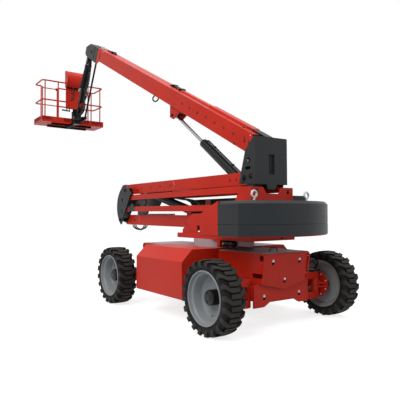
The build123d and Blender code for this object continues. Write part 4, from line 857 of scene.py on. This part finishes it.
def make_riser_trim():
    """Plug welds in a darker red of painted shade, edge welds of the doubler plates in a light red of painted
    highlight, holes drawn as dark discs of painted shade, and the closed nose of the upper riser.
    """
    spots = [(lower_length - 0.418, -0.008, 0.0), (lower_length - 0.113, -0.004, 0.0)]
    make("lower_riser_welds", welds(on_lower, spots, riser_half), weld_red, "lower_riser")
    first = upper_length - 1.588
    spots = [(first + 0.364 * k, 0.020, 0.0) for k in range(5)] + [(0.343, 0.0, -0.004), (0.496, 0.0, -0.004)]
    make("upper_riser_welds", welds(on_upper, spots, riser_half), weld_red, "upper_riser")
    bend = arc((lower_length - 0.534, 0.0), 0.095, 90, 270, 13)
    loop = [(lower_length - 0.10, 0.095), *bend, (lower_length - 0.10, -0.095)]
    back = upper_length - 1.656
    chevron = ((back, 0.104), (back - 0.083, 0.014), (back, -0.082))
    bead_y = riser_half - 0.002
    beads_low = [pipe(spots_on(on_lower, loop, flank * bead_y), 0.0038, 6) for flank in flanks]
    beads_high = [pipe(spots_on(on_upper, chevron, flank * bead_y), 0.0045, 6) for flank in flanks]
    # Holes in the upper riser drawn as dark discs of painted shade.
    holes = [
        lathe(hole_shade_profile, on_upper(upper_length - 0.31, -0.012, flank * riser_half), flank * across, 20)
        for flank in flanks
    ]
    # Edge-weld beads in the light red of painted highlight.
    make("lower_riser_beads", beads_low, edge_red, "lower_riser")
    make("upper_riser_beads", beads_high, edge_red, "upper_riser")
    make("upper_riser_ports", holes, shade_dark, "upper_riser")
    outline = [
        (0.062, 0.118), (0.24, 0.136), (0.33, 0.134), (0.395, 0.115), (0.428, 0.075), (0.435, 0.02),
        (0.41, -0.03), (0.33, -0.06), (0.062, -0.045),
    ]
    end = on_upper(upper_length, 0.0, riser_half)
    nose = prism(outline, end, upper_line, upper_rise, 2 * riser_half, 0.006)
    make("upper_riser_nose", nose, red_paint, "upper_riser")


def side_plates(outline, y, thick, bevel=0.002):
    """A plate outline of (x, z) on both sides of the machine, from y outwards."""
    return join(*[
        prism(outline, (0, flank * (y + (thick if flank > 0 else 0)), 0), forward, upward, thick, bevel)
        for flank in flanks
    ])


def make_link_ends():
    """Cast lugs over the ends of the links, and pins on the knuckle's outer faces."""
    low = link_front[[0, 2]] + [
        (-0.375, -0.045), (-0.16, -0.055), (-0.12, -0.02), (-0.14, 0.045), (-0.26, 0.11), (-0.295, 0.11),
        (-0.375, 0.04),
    ]
    high = pivot["upper_link_hinge"][[0, 2]] + [
        (-0.07, -0.02), (0.045, -0.03), (0.05, 0.03), (-0.02, 0.052), (-0.075, 0.05),
    ]
    for link, outline in (("lower_link", low), ("upper_link", high)):
        plates = side_plates(outline, casting_face, casting_thick)
        make(f"{link}_castings", plates, black_paint, link)
    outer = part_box("front_knuckle")[1][1]
    pins = []
    for name in ("knuckle_hinge", "upper_riser_hinge"):
        pins += flank_pins(pivot[name], outer, 0.030, 0.022)
    make("knuckle_pins", pins, black_paint, "front_knuckle")


def make_riser_hoses():
    """Tray on the lower riser, the hoses beside its cylinder and the loop that hangs under its front end."""
    half, wall, lip = 0.11, 0.006, 0.03
    section = [
        (-half, 0.0), (half, 0.0), (half, lip), (half - wall, lip), (half - wall, wall), (wall - half, wall),
        (wall - half, lip), (-half, lip),
    ]
    tray = prism(section, (-1.25, 0.0, 1.512), across, upward, 0.64)
    make("hose_tray", tray, ring_grey, "lower_riser")
    route = (
        # distance, height, share of the hose's own lift
        (1.30, 0.098, 0), (0.80, 0.102, 1), (0.42, 0.135, 1), (0.22, 0.165, 1), (0.04, 0.145, 1),
        (-0.045, 0.06, 0), (-0.05, -0.03, 0),
    )
    hoses = []
    for k in range(6):
        spots = [(s, h + share * 0.004 * (k % 3)) for s, h, share in route]
        hoses.append(hose(spots_on(on_riser_ram, spots, -0.075 + 0.030 * k), 0.0135))
    make("riser_ram_hoses", hoses, hose_rubber, "riser_ram_barrel", smooth=60)
    loops = []
    for y, sag in ((-0.03, 0.0), (0.005, 0.012), (0.04, 0.004)):
        points = [(0.20, y, 1.335), (0.14, y, 1.262), (0.0, y, 1.226 - sag), (-0.15, y, 1.226 - sag),
                  (-0.28, y, 1.268), (-0.33, y, 1.335)]
        loops.append(hose(points, 0.011))
    make("riser_hose_loop", loops, hose_rubber, "lower_riser", smooth=60)


# ---- Rear bracket and boom ---------------------------------------------------
# Port: a dark ring of painted shade, and a dark red disc of painted shade inside it.
port_shade_profile = (
    (-0.001, 0.0), (-0.001, 0.037), (0.003, 0.036), (0.003, 0.030), (0.0006, 0.028), (0.0006, 0.0),
)
port_red_shade_profile = ((0.0, 0.0), (0.0, 0.015), (0.0016, 0.014), (0.0016, 0.0))
boom_top = 0.1425  # height of the boom's top face over its line
head_bolts = ((6.48, 0.10), (6.48, -0.12), (7.05, 0.05))
collar_bolts = ((6.07, 0.112), (6.19, 0.098), (6.19, -0.11), (0.236, 0.108))


def make_bracket_fittings():
    """Pins, dark plates of painted shade behind the bracket's openings, a port drawn as a dark ring of
    painted shade round a dark red disc of painted shade, and the hoses over its top.
    """
    low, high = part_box("rear_bracket")
    back_x, outer = low[0], high[1]
    hinge = pivot["bracket_hinge"]
    tail = hinge[[0, 2]] + np.concatenate([
        arc((0, 0), 0.046, 20, 215, 12), [(0.012, -0.088), (0.032, -0.093), (0.048, -0.08)],
    ])
    pins = [side_plates(tail, outer, 0.008, 0.003), *flank_pins(hinge, outer, 0.036, 0.03)]
    make("bracket_pins", pins, black_paint, "rear_bracket")
    # Dark plates of painted shade behind the openings.
    edge_x = back_x + 0.022
    backing = [
        (edge_x, 2.11), (-3.735, 2.11), (-3.735, 2.215), (-3.798, 2.240), (-3.798, 2.33), (edge_x, 2.33),
    ]
    make("bracket_backing", side_plates(backing, 0.278, 0.007), shade_dark, "rear_bracket")
    # Ports drawn as dark rings of painted shade, each round a dark red disc of painted shade for the red seen
    # through it.
    ports, plugs = [], []
    for flank in flanks:
        place = np.array((back_x + 0.10, flank * outer, 2.053))
        ports.append(lathe(port_shade_profile, place, flank * across, 28))
        plugs.append(lathe(port_red_shade_profile, place + (-0.008, 0.0, 0.005), flank * across, 20))
    make("bracket_ports", ports, shade_dark, "rear_bracket")
    make("bracket_plugs", plugs, weld_red, "rear_bracket")
    fall = ((0.075, 2.605), (0.042, 2.54), (0.038, 2.42), (0.040, 2.25), (0.038, 2.08), (0.045, 1.97))
    hoses = []
    for k, y in enumerate((-0.095, -0.066, -0.037, -0.008, 0.021)):
        crest = 0.157 + 0.003 * (k % 2)
        over = ((0.50, crest), (0.38, crest), (0.28, crest + 0.004), (0.12, crest + 0.002))
        points = spots_on(on_boom, over, y) + [(back_x + x, y, z) for x, z in fall]
        hoses.append(hose(points, 0.0135))
    piece = make("boom_root_hoses", hoses, hose_rubber, None, smooth=60)
    tuple(on_boom(0.30, 0.165))
    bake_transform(piece)


def channel(s0, s1, y, width, height):
    """Folded channel along the top of the boom, its rims bevelled."""
    outline = [(-width / 2, 0.0), (width / 2, 0.0), (width / 2 - 0.006, height), (-width / 2 + 0.006, height)]
    return prism(outline, on_boom(s0, boom_top, y), across, boom_rise, s1 - s0, 0.002)


def make_boom_top():
    """Plug welds, hose channels, hoses and clamps of the main boom, and the guide ring that hangs under it.

    The ring's point = centre + hoop radius times spoke + tube radius times a turn from that spoke to the
    boom's line.
    """
    spots = [(0.622 + 0.265 * k, 0.0, 0.0) for k in range(7)] + [(0.536, -0.123, 0.0)]
    # Plug welds in the darker red of painted shade.
    make("boom_welds", welds(on_boom, spots, boom_half), weld_red, "main_boom")
    covers = [channel(0.36, 1.56, -0.04, 0.15, 0.036), channel(1.56, 2.58, -0.04, 0.11, 0.024)]
    make("boom_channels", covers, red_paint, "main_boom")
    hoses, clamps = [], []
    for s0, s1, grips in ((2.50, 3.02, (2.62, 2.90)), (5.80, 6.22, (5.93,))):
        rises = ((s0, 0.010), (s0 + 0.08, 0.020), (0.5 * (s0 + s1), 0.026), (s1 - 0.08, 0.020), (s1, 0.004))
        spots = [(s, boom_top + rise) for s, rise in rises]
        hoses += [hose(spots_on(on_boom, spots, y), 0.011) for y in (-0.075, -0.045, -0.012)]
        for s in grips:
            place = on_boom(s - 0.025, boom_top + 0.021, -0.042)
            clamps.append(block(0.13, 0.05, 0.01, place, across, boom_rise, 0.05, 0.004))
    clamps.append(bolts([on_boom(0.51, boom_top, 0.085)], boom_rise, 0.016, 0.014))
    make("boom_hoses", hoses, hose_rubber, "main_boom", smooth=60)
    make("boom_clamps", clamps, black_paint, "main_boom")
    spoke = spokes(boom_rise, across, 24)
    hoop = on_boom(3.43, -0.232) + 0.060 * spoke
    ring = skin(hoop[:, None] + 0.0145 * spokes(spoke, boom_line, 8), wrap_u=True)
    stem = pipe([on_boom(3.43, -0.165), on_boom(3.43, -0.140)], 0.012, 10)
    make("hose_ring", [ring, stem], black_paint, "main_boom", smooth=60)


def make_boom_sides():
    """Tear-shaped keepers, end bolts and the lift cylinder's pin, on both sides of the main boom."""
    tip = [(0.004, 0.040), (0.0, 0.044), (-0.004, 0.040)]
    drop = np.concatenate([arc((0, -0.026), 0.017, 190, 350, 7), tip])
    tears = [
        prism(drop, on_boom(s, h, flank * boom_half), -flank * forward, upward, 0.007, 0.002)
        for s, h in ((0.342, 0.010), (0.222, -0.002)) for flank in flanks
    ]
    make("boom_keepers", tears, grey_paint, "main_boom")
    heads = flank_bolts(on_boom, collar_bolts, boom_half, 0.011, 0.009)
    make("boom_bolts", heads, galvanised, "main_boom")
    pins = flank_pins(on_boom(2.506, -0.300), 0.107, 0.024, 0.02)
    make("lift_eye_pins", pins, black_paint, "main_boom")


def make_boom_head():
    """Seams, pins and bolts on the sides of the boom's head, and the tubes over its top."""
    seam = ((6.62, 0.140), (6.665, 0.0), (6.63, -0.15))
    seams = [pipe(spots_on(on_boom, seam, flank * (boom_half + 0.001)), 0.0045, 6) for flank in flanks]
    pins = flank_pins(on_boom(6.85, -0.03), boom_half, 0.026, 0.018)
    heads = flank_bolts(on_boom, head_bolts, boom_half, 0.012, 0.009)
    make("boom_head_trim", seams + pins + heads, black_paint, "inner_boom")
    route = ((6.47, 0.128), (6.54, 0.158), (6.68, 0.163), (6.80, 0.150), (6.86, 0.115))
    tubes = [hose(spots_on(on_boom, route, y), 0.010) for y in (-0.06, -0.02, 0.03)]
    make("boom_head_tubes", tubes, galvanised, "inner_boom", smooth=60)


def make_ram_trim():
    """Side pipes of the lift cylinder, with their clips."""
    route = (
        (0.16, 0.060), (0.22, 0.082), (0.45, 0.084), (0.90, 0.084), (1.30, 0.084), (1.36, 0.080),
        (1.40, 0.060),
    )
    pipes = [hose(spots_on(on_lift_ram, route, y), 0.0115, 12) for y in (0.030, -0.030)]
    make("lift_ram_pipes", pipes, hose_rubber, "lift_ram_barrel", smooth=60)
    clips = [
        block(0.095, 0.03, 0.006, on_lift_ram(s, 0.084), across, lift_rise, 0.03, 0.003) for s in (0.55, 1.12)
    ]
    make("lift_ram_clips", clips, black_paint, "lift_ram_barrel")


# ---- Jib and platform --------------------------------------------------------
near_x, far_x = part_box("platform_floor")[0][0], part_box("platform_floor")[1][0]
floor_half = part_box("platform_floor")[1][1]
rail_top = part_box("platform_rails")[1][2]
socket_profile = ((0.0, 0.0), (0.0, 0.022), (0.035, 0.024), (0.04, 0.014), (0.04, 0.0))
toe_sheet = 0.006
slot_z, slot_pitch, slot_proud, slot_deep = 4.137, 0.034, 0.0002, 0.0008
slot_runs = ((0.83, 0.62), (0.26, 0.10), (-0.20, -0.46), (-0.54, -0.83))  # y from, y to


def make_jib_trim():
    """Limit block, and the hoses that hang behind the jib."""
    limit = block(0.10, 0.045, 0.006, on_jib(1.28, -0.078, 0.045), jib_line, jib_rise, 0.05, 0.003)
    make("jib_limit_block", limit, red_paint, "jib")
    route = (
        # distance, height, share of the hose's own sag
        (0.13, -0.045, 0), (0.25, -0.150, 1), (0.44, -0.190, 1), (0.65, -0.215, 1), (0.80, -0.150, 1),
        (0.94, -0.255, 1), (1.11, -0.190, 1), (1.22, -0.270, 1), (1.38, -0.250, 1), (1.50, -0.150, 0),
        (1.58, -0.045, 0),
    )
    hoses = []
    for k, y in enumerate((-0.025, 0.005, 0.035)):
        spots = [(s, h - share * 0.012 * k) for s, h, share in route]
        hoses.append(hose(spots_on(on_jib, spots, y), 0.0115))
    make("jib_hoses", hoses, hose_rubber, "jib", smooth=60)


def make_console():
    """Control console: a hood with an elliptical front over a flat panel, in place of the plain one, with a
    dark strip of painted shade under it.
    """
    front = (-0.035, 0.070) + arc((0, 0), 1.0, 88, 262, 22) * (0.165, 0.228)
    hood = np.concatenate([[(0.006, -0.150), (0.006, 0.275), (-0.004, 0.292)], front, [(-0.05, -0.156)]])
    half = 0.243
    shell = prism(hood, (near_x, half, rail_top), forward, upward, 2 * half, 0.010)
    rim = hood * (1.05, 1.0) + (0.0, 0.004)
    places = [(near_x, y, rail_top) for y in (half + 0.004, -half + 0.018)]
    ribs = [prism(rim, place, forward, upward, 0.022, 0.004) for place in places]
    panel = block(0.46, 0.585, 0.012, (near_x - 0.010, -0.002, 4.745), -across, upward, -0.008)
    piece = make("console_hood", [shell, *ribs, panel], red_paint, "platform")
    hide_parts("console")
    # Dark strip of painted shade under the hood.
    under = block(0.06, 0.44, 0.01, (near_x - 0.048, 0.0, rail_top - 0.156), forward, across, -0.006)
    make("console_base", under, shade_dark, "platform")
    route = [
        (near_x - 0.06, 0.045, 5.03), (near_x - 0.075, 0.035, 4.95), (near_x - 0.05, 0.03, 4.86),
        (near_x - 0.045, 0.045, 4.77), (near_x - 0.03, 0.07, 4.70), (near_x - 0.016, 0.075, 4.69),
    ]
    socket = lathe(socket_profile, (near_x - 0.06, 0.045, 5.005), upward, 16)
    lead = [hose(route, 0.014), socket]
    make("console_lead", lead, hose_rubber, "platform", smooth=60)


def make_platform_trim():
    """Thin dark patches of painted shade for the slots of the toe boards, foot lever and gate bracket."""
    # Each slot is a thin dark patch of painted shade on the board.
    slot = rounded(0.015, 0.085, 0.0072)
    ys = np.concatenate([np.arange(start, end, -slot_pitch) for start, end in slot_runs])
    xs = np.arange(near_x + 0.10, far_x - 0.08, slot_pitch)
    boards = (
        (-across, [(near_x - slot_proud, y, slot_z) for y in ys]),
        (-across, [(far_x - toe_sheet - slot_proud, y, slot_z) for y in ys]),
        (-forward, [(x, floor_half + slot_proud, slot_z) for x in xs]),
        (forward, [(x, -floor_half - slot_proud, slot_z) for x in xs]),
    )
    slots = [prism(slot, place, x_dir, upward, slot_deep) for x_dir, places in boards for place in places]
    make("toe_slots", slots, shade_dark, "platform")
    lever_x, lever_z = near_x - 0.036, 4.390
    bends = ((0.115, -0.006), (0.16, 0.0), (0.24, 0.004), (0.31, 0.006))
    lever = hose([(lever_x, y, lever_z + rise) for y, rise in bends], 0.019, 12)
    pedal = block(0.05, 0.034, 0.012, (lever_x, 0.345, lever_z + 0.007), forward, upward, 0.07, 0.004)
    straps = [
        block(0.024, 0.11, 0.004, (near_x - 0.021, y, lever_z + 0.038), forward, upward, 0.02, 0.002)
        for y in (0.14, 0.21)
    ]
    make("foot_lever", [lever, pedal, *straps], black_paint, "platform")
    outline = [(0.0, 0.0), (0.10, 0.0), (0.012, -0.095)]
    bracket = prism(outline, (far_x - 0.012, 0.29, rail_top - 0.02), -across, upward, 0.006, 0.001)
    make("gate_bracket", bracket, red_paint, "platform")


make_camera()
make_stage()
make_lamps()
dress_nodes()
for wheel_end in ("rear", "front"):
    for wheel_side in sides:
        make_wheel(wheel_end, wheel_side)
make_nose_fittings()
make_cover_bolts()
make_axle_ends()
make_slew_drive()
make_turntable_fittings()
make_riser_trim()
make_link_ends()
make_riser_hoses()
make_bracket_fittings()
make_boom_top()
make_boom_sides()
make_boom_head()
make_ram_trim()
make_jib_trim()
make_console()
make_platform_trim()

scene = bpy.context.scene
scene.view_settings.view_transform = "Standard"
